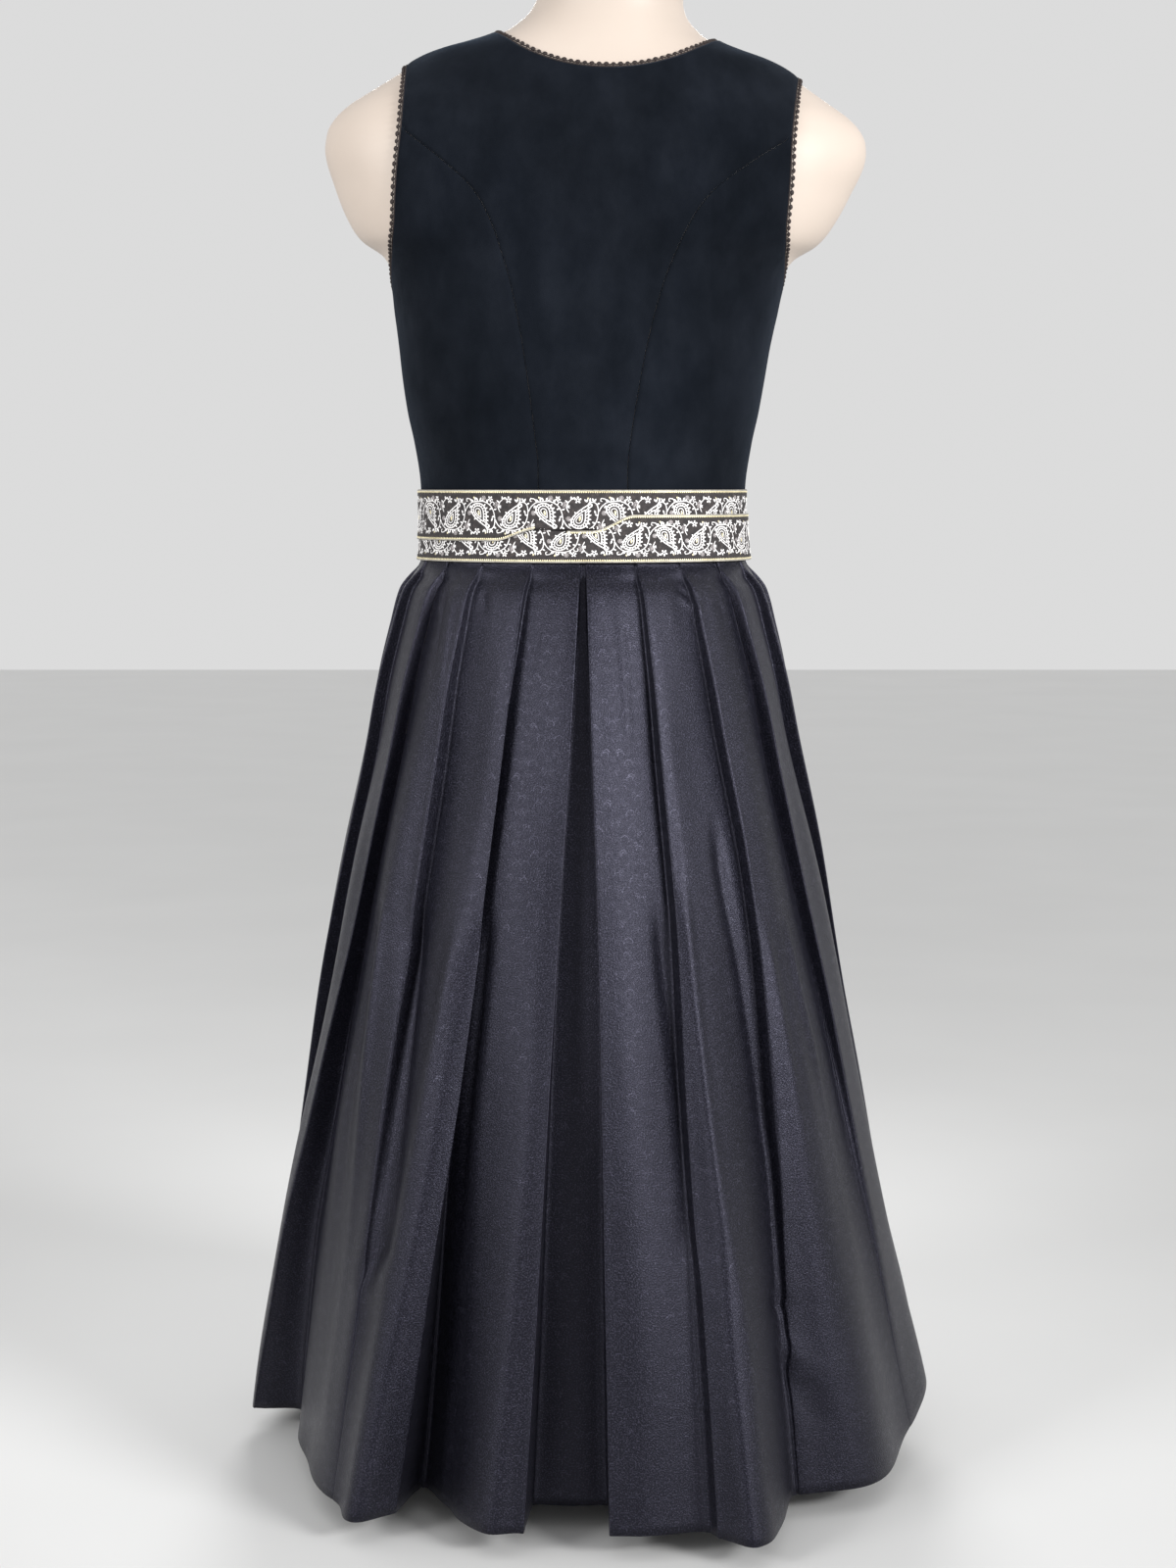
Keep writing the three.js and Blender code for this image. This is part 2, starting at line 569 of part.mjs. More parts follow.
function beltGeometry(pass) {
  const steps = Array.from({ length: BELT.steps + 1 }, (_, k) => k / BELT.steps);
  const slack = SEAM_GAP / 2 / figure.front(BELT.top) / DEGREE;
  const turns = steps.map((step) => between(-180 + slack, 180 - slack, step));
  const upper = pass === 'upper';
  const point = (turn, row, wall) => {
    const open = spread(turn);
    const half = BELT.crossGap / 2;
    const low = upper ? between(BELT.crossHeight + half, BELT.upperLow, open) : BELT.low;
    const high = upper ? BELT.top : between(BELT.crossHeight - half, BELT.lowerHigh, open);
    const z = between(low, high, row / BELT.rows);
    const outer = upper ? changeOver(turn) : 1 - changeOver(turn);
    const room = BELT.pleatRoom * (BELT.top - z) / (BELT.top - BELT.low);
    const out = FORM_CLEARANCE + BODICE_WALL + RIBBON_GAP + room
      + outer * (RIBBON_WALL + RIBBON_GAP) + wall;
    return shellPoint(turn * DEGREE, z, out);
  };
  const rows = Array.from({ length: BELT.rows + 1 }, (_, k) => k);
  const grid = (wall) => rows.map((row) => turns.map((turn) => point(turn, row, wall)));
  return wallGeometry(grid(RIBBON_WALL), grid(0));
}

// ---------------------------------------------------------------- skirt
const skirt = curvesOf(SKIRT_SECTIONS, 'z');

// A fold's value at a height, from its values at the waist, the middle and the hem.
function atHeight(waist, middle, hem, z) {
  const rows = [
    { z: FOLD_LEVELS.hem, value: hem },
    { z: FOLD_LEVELS.middle, value: middle },
    { z: FOLD_LEVELS.waist, value: waist },
  ];
  return curvesOf(rows, 'z').value(z);
}

const edgeAt = (fold, z) => atHeight(fold.waist, fold.middle, fold.hem, z);
const lipAt = (fold, z) => atHeight(WAIST_FOLD, fold.lipMiddle, fold.lipHem, z);
const tuckAt = (fold, z) => atHeight(-WAIST_FOLD, fold.tuckMiddle, fold.tuckHem, z);
const crestAt = (fold, z) => atHeight(0, fold.crestMiddle, fold.crestHem, z);
const underAt = (fold, z) => atHeight(0, fold.under, fold.under, z);

function ridge(share, at) {
  return share < at ? smooth(share / at) : smooth((1 - share) / (1 - at));
}

function skirtPoint(side, turn, out, z) {
  const angle = side * turn * DEGREE;
  const depth = Math.abs(turn) < 90 ? skirt.back(z) : skirt.front(z);
  return new THREE.Vector2((skirt.half(z) + out) * Math.sin(angle), (depth + out) * Math.cos(angle));
}

// One half of the skirt at a height, as stretches of cloth between folds, from the centre back.
// Each stretch is a list of points, and the step from one to the next is the fold's return.
function halfSection(folds, side, z) {
  const stretches = [];
  for (let i = 0; i <= folds.length; i += 1) {
    const before = folds[i - 1];
    const after = folds[i];
    let from = { turn: 0, out: tuckAt(folds[0], z) };
    if (before) {
      const backward = before.faces === 'back';
      from = {
        turn: edgeAt(before, z) + (backward ? 0 : -underAt(before, z)),
        out: backward ? lipAt(before, z) : tuckAt(before, z),
      };
    }
    let to = { turn: 180, out: before ? tuckAt(before, z) / 2 : 0 };
    if (after) {
      const backward = after.faces === 'back';
      to = {
        turn: edgeAt(after, z) + (backward ? underAt(after, z) : 0),
        out: backward ? tuckAt(after, z) : lipAt(after, z),
      };
    }
    const crest = before ? crestAt(before, z) : 0;
    const peak = before ? before.crestAt : 0.5;
    const points = [];
    for (let k = 0; k <= FOLD_STEPS; k += 1) {
      const share = k / FOLD_STEPS;
      const out = between(from.out, to.out, share) + crest * ridge(share, peak);
      points.push(skirtPoint(side, between(from.turn, to.turn, share), out, z));
    }
    stretches.push(points);
  }
  return stretches;
}

// The cloth's inner line beside a line of points that goes round the skirt clockwise. At a fold's
// edge it is drawn in no further than sharpest allows.
function innerLine(points) {
  const sharpest = 0.45;
  const normals = points.slice(1).map((point, i) => {
    const along = point.clone().sub(points[i]).normalize();
    return new THREE.Vector2(along.y, -along.x);
  });
  return points.map((point, i) => {
    const before = normals[Math.max(0, i - 1)];
    const after = normals[Math.min(normals.length - 1, i)];
    const middle = before.clone().add(after).normalize();
    const reach = SKIRT_WALL / Math.max(sharpest, middle.dot(after));
    return point.clone().addScaledVector(middle, reach);
  });
}

// A skirt width: stretches first to last of the left half, the right half, or both. With returns
// it also holds the cloth of the folds at its two ends, down to where they are sewn.
function widthLine(z, parts) {
  const points = [];
  for (const { folds, side, first, last, returns } of parts) {
    const stretches = halfSection(folds, side, z);
    const line = stretches.slice(first, last + 1).flat();
    if (returns) {
      line.unshift(stretches[first - 1][FOLD_STEPS]);
      line.push(stretches[last + 1][0]);
    }
    points.push(...(side === RIGHT ? line.reverse() : line));
  }
  const closest = SEAM_GAP / 4;
  return points.filter((point, i) => i === 0 || point.distanceTo(points[i - 1]) > closest);
}

function shortened(points) {
  const cut = (end, next) => end.clone().lerp(next, SEAM_GAP / 2 / end.distanceTo(next));
  const last = points.length - 1;
  return [cut(points[0], points[1]), ...points.slice(1, -1), cut(points[last], points[last - 1])];
}

function hemKick(point, z) {
  const turn = Math.atan2(-point.x, point.y) / DEGREE;
  const beside = (turn - HEM_KICK.turn) / HEM_KICK.wide;
  const low = smooth((HEM_KICK.from - z) / (HEM_KICK.from - HEM_HEIGHT));
  return HEM_KICK.rise * low * Math.exp(-beside * beside);
}

function skirtWidthGeometry(parts) {
  const lines = SKIRT_LEVELS.map((z) => ({ z, line: shortened(widthLine(z, parts)) }));
  const raise = (line, z) => line.map(
    (point) => new THREE.Vector3(point.x, point.y, z + hemKick(point, z)),
  );
  const outer = lines.map(({ z, line }) => raise(line, z));
  const inner = lines.map(({ z, line }) => raise(innerLine(line), z));
  return wallGeometry(outer, inner);
}

// ---------------------------------------------------------------- materials and assembly
const velvet = () => new THREE.MeshStandardMaterial({ color: 0x14161d, roughness: 0.9, metalness: 0 });
const jacquard = () => new THREE.MeshStandardMaterial({ color: 0x1f202b, roughness: 0.5, metalness: 0 });
const ribbon = () => new THREE.MeshStandardMaterial({ color: 0x6f6a66, roughness: 0.6, metalness: 0.1 });
const braid = () => new THREE.MeshStandardMaterial({ color: 0x241a18, roughness: 0.8, metalness: 0 });
const shell = () => new THREE.MeshStandardMaterial({ color: 0xeadcd0, roughness: 0.55, metalness: 0 });
const steel = () => new THREE.MeshStandardMaterial({ color: 0xb9babd, roughness: 0.35, metalness: 0.9 });

const group = new THREE.Group();

function add(name, geometry, material) {
  const mesh = new THREE.Mesh(geometry, material);
  mesh.name = name;
  group.add(mesh);
}

function addStand() {
  add('stand_base', baseGeometry(), steel());
  add('stand_pole', poleGeometry(), steel());
  add('dress_form', dressFormGeometry(), shell());
}

function addBodice() {
  add('bodice_back', backCentreGeometry(), velvet());
  for (const [side, name] of [[LEFT, 'left'], [RIGHT, 'right']]) {
    add(`bodice_side_back_${name}`, sidePieceGeometry(faces.back, side), velvet());
    add(`bodice_side_front_${name}`, sidePieceGeometry(faces.front, side), velvet());
    add(`bodice_front_${name}`, frontCentreGeometry(side), velvet());
    add(`armhole_trim_${name}`, armholeTrimGeometry(side), braid());
  }
  add('neckline_trim', necklineTrimGeometry(), braid());
}

function addBelt() {
  add('belt_upper_pass', beltGeometry('upper'), ribbon());
  add('belt_lower_pass', beltGeometry('lower'), ribbon());
}

function addSkirt() {
  const left = { folds: LEFT_FOLDS, side: LEFT };
  const right = { folds: RIGHT_FOLDS, side: RIGHT };
  const last = LEFT_FOLDS.length;
  const sideStretches = { first: SIDE_SEAM_FOLD + 1, last: FRONT_SEAM_FOLD, returns: true };
  const widths = {
    skirt_back: [
      { ...right, first: 0, last: SIDE_SEAM_FOLD },
      { ...left, first: 0, last: SIDE_SEAM_FOLD },
    ],
    skirt_side_left: [{ ...left, ...sideStretches }],
    skirt_side_right: [{ ...right, ...sideStretches }],
    skirt_front: [
      { ...left, first: FRONT_SEAM_FOLD + 1, last },
      { ...right, first: FRONT_SEAM_FOLD + 1, last },
    ],
  };
  for (const [name, parts] of Object.entries(widths)) {
    add(name, skirtWidthGeometry(parts), jacquard());
  }
}

addStand();
addBodice();
addBelt();
addSkirt();

export default group;
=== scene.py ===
import math

import bmesh
import bpy
import numpy as np
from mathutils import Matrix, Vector


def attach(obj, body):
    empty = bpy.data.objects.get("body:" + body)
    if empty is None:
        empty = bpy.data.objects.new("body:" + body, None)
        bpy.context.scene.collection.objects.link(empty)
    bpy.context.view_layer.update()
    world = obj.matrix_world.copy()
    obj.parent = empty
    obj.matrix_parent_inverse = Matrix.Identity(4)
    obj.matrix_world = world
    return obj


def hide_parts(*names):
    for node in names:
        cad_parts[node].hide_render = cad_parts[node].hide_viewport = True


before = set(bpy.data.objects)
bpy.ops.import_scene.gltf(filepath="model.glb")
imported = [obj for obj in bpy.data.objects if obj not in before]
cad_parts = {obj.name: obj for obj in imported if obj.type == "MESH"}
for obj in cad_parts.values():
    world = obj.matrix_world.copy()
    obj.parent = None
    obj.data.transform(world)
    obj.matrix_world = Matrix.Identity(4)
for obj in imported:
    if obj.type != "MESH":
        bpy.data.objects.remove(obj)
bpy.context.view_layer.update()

# Everything below is in millimetres, on the record's axes, and scaled when a mesh is made.
MM = 0.001
DEGREE = math.pi / 180
QUARTER = math.pi / 2
LEFT, RIGHT = 1, -1
SIDES = ((LEFT, "left"), (RIGHT, "right"))

# ---- sizes shared with the solids
HEM_HEIGHT = 20
WAIST_SEAM = 738
UNDERARM = 938
SHOULDER_TIP = 1106
SHOULDER_TIP_HALF = 152
NECK_POINT_HALF = 88
NAPE = 1100
FRONT_NECK = 985
SEAM_GAP = 0.4
FORM_CLEARANCE = 1
FORM_INSET = 1
BODICE_WALL = 1.8
RIBBON_WALL = 1.0
RIBBON_GAP = 0.45
# Walls that the visible cloth is thickened by.
VELVET_SHEET = 0.9
JACQUARD_SHEET = 1.1
RIBBON_SHEET = 0.8
# The pattern's coordinates on the cloth are in units of this many mm.
UV_UNIT = 100

# z, half width, depth to the front, depth to the back
FIGURE_SECTIONS = [
    (560, 141, 94, 108), (600, 145, 98, 111), (650, 141, 98, 106), (690, 134, 96, 99),
    (725, 127, 95, 94), (752, 125.5, 95, 92), (787, 127, 97, 92.5), (818, 131.5, 100, 95),
    (843, 137, 104, 98), (870, 141.5, 107, 101), (895, 145, 109, 103), (918, 149, 110, 105),
    (938, 152, 110, 106), (950, 155, 109, 106), (963, 163, 108, 106), (975, 181, 106, 106),
    (986, 190, 104, 106), (1012, 203, 98, 104), (1046, 214, 84, 98), (1056, 213, 78, 95),
    (1066, 208, 72, 91), (1076, 198, 66, 87), (1086, 183, 60, 82), (1095, 169, 55, 79),
    (1106, 152, 49, 74), (1112, 142, 47, 71), (1117, 130, 46, 69), (1122, 113, 46, 67),
    (1128, 95, 47, 65), (1137, 77, 49, 62), (1152, 62, 51, 58), (1163, 58, 52, 57),
    (1180, 57, 53, 56), (1186, 52, 48, 51),
]
LEAN = {"start": 800, "at": 1150, "over": -20, "rise": 0.042}
BUST = {"apart": 78, "z": 912, "depth": 17, "wide": 48, "high": 54, "fade_in": 2}
# z, distance from the centre line
BACK_SEAM = [
    (738, 33.4), (800, 34), (828, 37), (856, 41), (884, 45.5), (912, 51),
    (938, 57.5), (963, 66), (986, 76), (1006, 89), (1030, 117), (1054, 151),
]
FRONT_SEAM = [(738, 38), (800, 46), (856, 60), (912, 77), (948, 90), (978, 114), (1006, 144)]
NECK_SHARES = [0, 0.33, 0.6, 0.79, 0.92, 0.976, 0.995, 1]
NECK_COLUMNS_AT_WAIST = 0.7
SEAM_TIP = 3

BELT = {
    "top": 782, "upper_low": 742, "lower_high": 763, "low": 725.5,
    "cross_height": 751, "cross_gap": 0.6, "cross_from": -3, "cross_to": 7,
    "ramp": 15, "pleat_room": 2.1, "width": 40, "late": (16, 15),
}

# z, half width, depth to the front, depth to the back
SKIRT_SECTIONS = [
    (738, 129.3, 98.3, 96.2), (725, 130, 98.6, 97.4), (715, 137, 105, 106), (703, 146, 113, 116),
    (675, 154.5, 124, 128), (633, 165.5, 138, 142), (580, 176, 152, 156), (502, 193, 172, 176),
    (420, 209, 192, 195), (325, 227.5, 216, 218), (220, 247, 240, 241), (120, 266, 260, 260),
    (HEM_HEIGHT, 285, 277, 277),
]
FOLD_LEVELS = (HEM_HEIGHT, 420, 725)
WAIST_FOLD = 0.9
# Extra depth of the folds just under the belt: of a fold's edge, of its tuck.
WAIST_DEPTH = (1.6, -4.5)
# How softly each fold's edge and its tuck are rounded at the hem, in mm, from the centre back.
SOFT_EDGES = [1.2, 2.5, 6, 8, 6, 5, 5, 5, 5]
SOFT_TUCKS = [4, 9, 13, 17, 14, 10, 10, 10, 10]
# The same at the centre back and the centre front.
SOFT_CENTRE = 8
# The rounding above z SOFT_FROM. The hem's is reached at z SOFT_FULL.
SOFT_TOP, SOFT_FROM, SOFT_FULL = 1.3, 430, 50
# Columns of points across each of the first BACK_STRETCHES stretches and across each later one.
BACK_COLUMNS, FRONT_COLUMNS, BACK_STRETCHES = 34, 20, 5
# How much further on in the pattern the cloth is beyond each fold, in mm.
UNDERLAP = 61.7
# faces back, waist, middle, hem, lip middle, lip hem, tuck middle, tuck hem,
# crest middle, crest hem, crest at, under
LEFT_FOLDS = [
    (True, 0.7, 5.4, 9, -1, -9, -26, -68, 2, 20, 0.22, 1),
    (True, 17.3, 22.8, 31, -2, -12, -17, -76, 4, 28, 0.25, 4.5),
    (True, 36.7, 41.6, 43, -2, -6, -15, -8, 6, -12, 0.4, 0),
    (True, 54, 63, 91, -2, -6, -18, -57, 3, 12, 0.35, 1.5),
    (True, 73, 85, 109, -2, -8, -14, -42, 3, 10, 0.35, 1),
    (True, 92, 104, 127, -2, -8, -13, -38, 2, 8, 0.5, 1),
    (False, 118, 126, 141, -2, -10, -14, -40, 2, 10, 0.6, 1),
    (False, 138, 143, 152, -2, -9, -14, -34, 2, 6, 0.6, 1),
    (False, 158, 160, 163, -2, -8, -13, -30, 0, 10, 0.7, 1),
]
RIGHT_FOLDS = [
    (True, 0.9, 3.2, 4, -1, -6, -26, -68, 2, 4, 0.4, 1),
    (True, 18, 20.6, 19.3, -2, 14, -15, -4, 4, 35, 0.17, 0),
    (True, 35, 41.2, 40, -2, -29, -16, -38, 5, 20, 0.36, 0.5),
    (True, 53.5, 64, 73, -2, -9, -13, -12, 3, 9, 0.55, 0.5),
    (True, 73, 86, 94, -2, -5, -12, -11, 3, 12, 0.3, 1),
    (True, 92, 105, 121, -2, -8, -13, -38, 2, 8, 0.5, 1),
    (False, 118, 126, 139, -2, -10, -14, -40, 2, 10, 0.6, 1),
    (False, 138, 143, 151, -2, -9, -14, -34, 2, 6, 0.6, 1),
    (False, 158, 160, 163, -2, -8, -13, -30, 0, 10, 0.7, 1),
]
HEM_KICK = {"turn": 98, "wide": 22, "rise": 46, "start": 260}
SIDE_SEAM_FOLD = 3
FRONT_SEAM_FOLD = 6

# Soft ridges and troughs on the skirt: height in mm, half width in degrees, then places as
# (turn, z), the turn in degrees from the centre back and positive on the wearer's left.
RIPPLES = [
    (-5.0, 2.6, [(54.1, 470), (54.1, 436), (55.7, 337), (57.5, 222), (59.2, 130), (60, 60)]),
    (3.0, 1.2, [(50.6, 480), (50.2, 444), (49.8, 360), (50, 256), (50.7, 106), (48.4, 40)]),
    (-4.5, 1.9, [(41.5, 470), (40.5, 415), (39, 325), (37.5, 218), (38.4, 190)]),
    (3.5, 2.0, [(28, 470), (29.2, 419), (32.2, 319), (35.3, 171), (36.2, 20)]),
    (-4.0, 1.6, [(21.3, 480), (22.3, 421), (24.7, 271), (24.3, 54), (24.3, 20)]),
    (-4.5, 1.9, [(-17.4, 480), (-18.4, 421), (-20.4, 324), (-20.7, 244), (-20.8, 190)]),
    (3.0, 1.5, [(-22, 500), (-22.5, 453), (-23.7, 291), (-26.2, 144), (-25.7, 20)]),
    (-4.0, 1.9, [(-34, 540), (-34.8, 486), (-38.1, 405), (-39.6, 325), (-40, 260)]),
    (3.0, 1.6, [(-42.8, 470), (-43.9, 414), (-46.4, 240), (-47.7, 75), (-48, 40)]),
    (3.0, 1.6, [(-51.5, 470), (-52.5, 410), (-57.2, 306), (-59.9, 216), (-61, 150)]),
    (-2.6, 1.6, [(-56.5, 360), (-60, 250), (-64, 150), (-66, 60)]),
    (-1.2, 0.9, [(47.8, 716), (46.6, 680), (45.4, 650), (44.8, 622)]),
    (0.9, 0.9, [(43.5, 712), (42.4, 676), (41, 632), (40.5, 600)]),
    (-1.0, 0.9, [(10.3, 712), (12.6, 680), (14, 650), (14.6, 620)]),
    (0.8, 1.2, [(-10.5, 705), (-11.5, 640), (-12, 560)]),
]
# Short slanting creases: height, width across in mm, from (turn, z) to (turn, z).
CREASES = [
    (-4.0, 9, (37.5, 226), (42.6, 180)),
    (3.0, 9, (36.0, 206), (41.6, 162)),
    (-4.0, 5, (-35.2, 174), (-41.5, 160)),
    (3.2, 6, (-35.6, 160), (-46.4, 100)),
    (-3.0, 6, (-36.4, 148), (-46.4, 62)),
    (-1.3, 3, (-30.2, 709), (-36.5, 695)),
    (1.1, 3, (-31.0, 703), (-37.5, 690)),
    (-1.2, 3, (-42.0, 700), (-48.0, 688)),
    (-1.1, 3, (33.5, 704), (30.0, 690)),
    (1.0, 3, (51.0, 697), (46.0, 676)),
]


# ---- curves
def smooth(t):
    t = np.clip(t, 0, 1)
    return t * t * (3 - 2 * t)


def curve(xs, ys):
    """A smooth curve without overshoot through points."""
    order = np.argsort(xs)
    x = np.array(xs, float)[order]
    y = np.array(ys, float)[order]
    rise = np.diff(y) / np.diff(x)
    slope = np.empty_like(y)
    slope[0], slope[-1] = rise[0], rise[-1]
    product = rise[:-1] * rise[1:]
    total = rise[:-1] + rise[1:]
    slope[1:-1] = np.where(product > 0, 2 * product / np.where(total == 0, 1, total), 0)

    def value(at):
        at = np.asarray(at, float)
        i = np.clip(np.searchsorted(x, at, side="right") - 1, 0, len(x) - 2)
        width = x[i + 1] - x[i]
        t = np.clip((at - x[i]) / width, 0, 1)
        s = 1 - t
        return (
            y[i] * s * s * (1 + 2 * t)
            + y[i + 1] * t * t * (3 - 2 * t)
            + slope[i] * width * t * s * s
            - slope[i + 1] * width * t * t * s
        )

    return value


def table_curves(rows):
    """One curve for each column after the first, which holds the heights."""
    heights, *sizes = zip(*rows)
    return [curve(heights, values) for values in sizes]


def run_of(points, axis=0):
    """Length along lines of points, from each line's first point."""
    step = np.linalg.norm(np.diff(points, axis=axis), axis=-1)
    return np.insert(np.cumsum(step, axis=axis), 0, 0, axis=axis)


figure_half, figure_front, figure_back = table_curves(FIGURE_SECTIONS)
FIGURE_TOP = FIGURE_SECTIONS[-1][0]
skirt_half, skirt_front, skirt_back = table_curves(SKIRT_SECTIONS)


# ---- figure
def figure_point(angle, z, inset=0.0):
    angle, z = np.broadcast_arrays(np.asarray(angle, float), np.asarray(z, float))
    side, back = np.sin(angle), np.cos(angle)
    x = (figure_half(z) - inset) * side
    y = (np.where(back >= 0, figure_back(z), figure_front(z)) - inset) * back
    across = (np.abs(x) - BUST["apart"]) / BUST["wide"]
    up = (z - BUST["z"]) / BUST["high"]
    bust = BUST["depth"] * np.exp(-across * across - up * up) * smooth(-BUST["fade_in"] * back)
    return np.stack([x, y - bust, z], -1)


def unit(v):
    return v / np.maximum(np.linalg.norm(v, axis=-1, keepdims=True), 1e-9)


def shell_normal(angle, z):
    step, rise = 0.002, 0.2
    along = figure_point(angle + step, z) - figure_point(angle - step, z)
    up = figure_point(angle, z + rise) - figure_point(angle, z - rise)
    return unit(np.cross(up, along))


def shell_point(angle, z, out):
    out = np.asarray(out, float)
    return figure_point(angle, z) + shell_normal(angle, z) * out[..., None]


def lean(points):
    moved = points.copy()
    x, z = points[..., 0], points[..., 2]
    share = np.maximum(0, (z - LEAN["start"]) / (LEAN["at"] - LEAN["start"])) ** 2
    moved[..., 0] = x + LEAN["over"] * share
    moved[..., 2] = z + LEAN["rise"] * x * share
    return moved


def on_figure(points):
    side = points[..., 0] / figure_half(points[..., 2])
    depth = np.where(points[..., 1] >= 0, figure_back(points[..., 2]), figure_front(points[..., 2]))
    return np.arctan2(side, points[..., 1] / depth)


# ---- meshes
def link(name, data):
    obj = bpy.data.objects.new(name, data)
    bpy.context.scene.collection.objects.link(obj)
    return obj


def smooth_object(name, points, faces, material, uv_faces=None):
    """An object from points in mm. uv_faces is one (corners, 2) list per face, in mm too."""
    mesh = bpy.data.meshes.new(name)
    mesh.from_pydata((points * MM).tolist(), [], faces)
    if uv_faces is not None:
        layer = mesh.uv_layers.new(name="cloth")
        layer.data.foreach_set("uv", (np.asarray(uv_faces, float) / UV_UNIT).ravel())
    mesh.materials.append(material)
    mesh.polygons.foreach_set("use_smooth", [True] * len(mesh.polygons))
    mesh.update()
    return link(name, mesh)


def grid_object(name, points, material, outward, uv_faces=None, closed=False):
    """A grid of (rows, columns) points whose faces look outward."""
    faces = grid_faces(*points.shape[:2], closed)
    points = points.reshape(-1, 3)
    a, b, c = (points[faces[:, k]] for k in (0, 1, 2))
    facing = np.einsum("ij,ij->i", np.cross(b - a, c - a), outward((a + b + c) / 3)).sum()
    if facing < 0:
        faces = faces[:, ::-1]
        if uv_faces is not None:
            uv_faces = uv_faces[:, ::-1]
    return smooth_object(name, points, faces.tolist(), material, uv_faces)


def grid_faces(rows, across, closed=False):
    r = np.arange(rows - 1)[:, None]
    c = np.arange(across if closed else across - 1)[None, :]
    here, right = r * across + c, r * across + (c + 1) % across
    return np.stack([here, right, right + across, here + across], -1).reshape(-1, 4)


def grid_uv(u, v, u_left=None, u_right=None):
    """Corner coordinates for grid_faces from (rows, columns) arrays. Where u differs on the two
    sides of a column, u_left and u_right give it for each strip."""
    left = u[:, :-1] if u_left is None else u_left
    right = u[:, 1:] if u_right is None else u_right
    corners = [
        (left[:-1], v[:-1, :-1]), (right[:-1], v[:-1, 1:]),
        (right[1:], v[1:, 1:]), (left[1:], v[1:, :-1]),
    ]
    return np.stack([np.stack(pair, -1) for pair in corners], -2).reshape(-1, 4, 2)


def from_axis(points):
    flat = points.copy()
    flat[:, 2] = 0
    return flat


def thicken(obj, wall):
    modifier = obj.modifiers.new("wall", "SOLIDIFY")
    modifier.thickness = wall * MM
    modifier.offset = -1
    modifier.use_even_offset = False
    return obj


def piece(obj, slot, *nodes):
    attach(obj, "root")
    if nodes:
        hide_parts(*nodes)
    return obj


# ---- materials
class Maker:
    """Short calls for node trees."""

    def __init__(self, name):
        self.material = bpy.data.materials.new(name)
        self.material.use_nodes = True
        self.tree = self.material.node_tree
        self.shader = self.tree.nodes["Principled BSDF"]

    def put(self, socket, value):
        if isinstance(value, bpy.types.NodeSocket):
            self.tree.links.new(value, socket)
        else:
            socket.default_value = value

    def node(self, kind, inputs=None, **settings):
        made = self.tree.nodes.new(kind)
        for key, value in settings.items():
            setattr(made, key, value)
        for key, value in (inputs or {}).items():
            self.put(made.inputs[key], value)
        return made

    def math(self, operation, a, b=0.0, c=0.0):
        return self.node("ShaderNodeMath", {0: a, 1: b, 2: c}, operation=operation).outputs[0]

    def times(self, a, b, plus=None):
        if plus is None:
            return self.math("MULTIPLY", a, b)
        return self.math("MULTIPLY_ADD", a, b, plus)

    def larger(self, a, b):
        return self.math("MAXIMUM", a, b)

    def below(self, value, limit):
        """1 where the value is below the limit and 0 elsewhere."""
        return self.math("LESS_THAN", value, limit)

    def on_line(self, distance, at, half):
        """1 within half a line's width of a distance and 0 elsewhere."""
        return self.below(self.math("ABSOLUTE", self.math("SUBTRACT", distance, at)), half)

    def noise(self, vector, scale, detail=3.0, rough=0.5):
        made = self.node(
            "ShaderNodeTexNoise",
            {"Vector": vector, "Scale": scale, "Detail": detail, "Roughness": rough},
        )
        return made.outputs[0]

    def ramp(self, value, *stops):
        made = self.node("ShaderNodeValToRGB", {"Fac": value})
        elements = made.color_ramp.elements
        while len(elements) < len(stops):
            elements.new(0.5)
        for element, (at, colour) in zip(elements, stops):
            element.position = at
            if not hasattr(colour, "__len__"):
                colour = (colour,) * 3
            element.color = (*colour, 1)
        return made.outputs[0]

    def bump(self, height, strength, distance, normal=None):
        inputs = {"Height": height, "Strength": strength, "Distance": distance}
        if normal is not None:
            inputs["Normal"] = normal
        return self.node("ShaderNodeBump", inputs).outputs[0]

    def place(self, output="Object"):
        return self.node("ShaderNodeTexCoord").outputs[output]

    def split(self, vector):
        made = self.node("ShaderNodeSeparateXYZ", {0: vector})
        return made.outputs[0], made.outputs[1], made.outputs[2]

    def set(self, **values):
        for key, value in values.items():
            socket = self.shader.inputs[key.replace("_", " ")]
            if isinstance(value, tuple) and len(value) == 3:
                value = (*value, 1)
            self.put(socket, value)


def velvet_material():
    m = Maker("velvet")
    at = m.place()
    stretched = m.node("ShaderNodeMapping", {"Vector": at, "Scale": (1.6, 1.6, 1.0)}).outputs[0]
    broad = m.noise(stretched, 5, 3, 0.55)
    marks = m.noise(stretched, 17, 4, 0.6)
    nap = m.noise(at, 1700, 2, 0.6)
    tone = m.times(marks, 0.5, m.times(broad, 0.5))
    colour = m.ramp(
        tone,
        (0.34, (0.0014, 0.0025, 0.0046)),
        (0.52, (0.0035, 0.0052, 0.0089)),
        (0.70, (0.0070, 0.0094, 0.0150)),
    )
    fuzz = m.bump(nap, 0.6, 0.0005)
    soft = m.bump(m.noise(at, 26, 3, 0.5), 0.3, 0.004, fuzz)
    m.set(
        Base_Color=colour, Roughness=m.ramp(marks, (0.35, 1.0), (0.65, 0.86)), Normal=soft,
        Specular_IOR_Level=0.12, Sheen_Weight=0.09, Sheen_Roughness=0.35,
        Sheen_Tint=(0.45, 0.62, 0.9),
    )
    return m.material


# The jacquard's repeat: width and height in mm. The same figures stand once more half a repeat
# along and half a repeat up.
REPEAT = (39.0, 38.0)
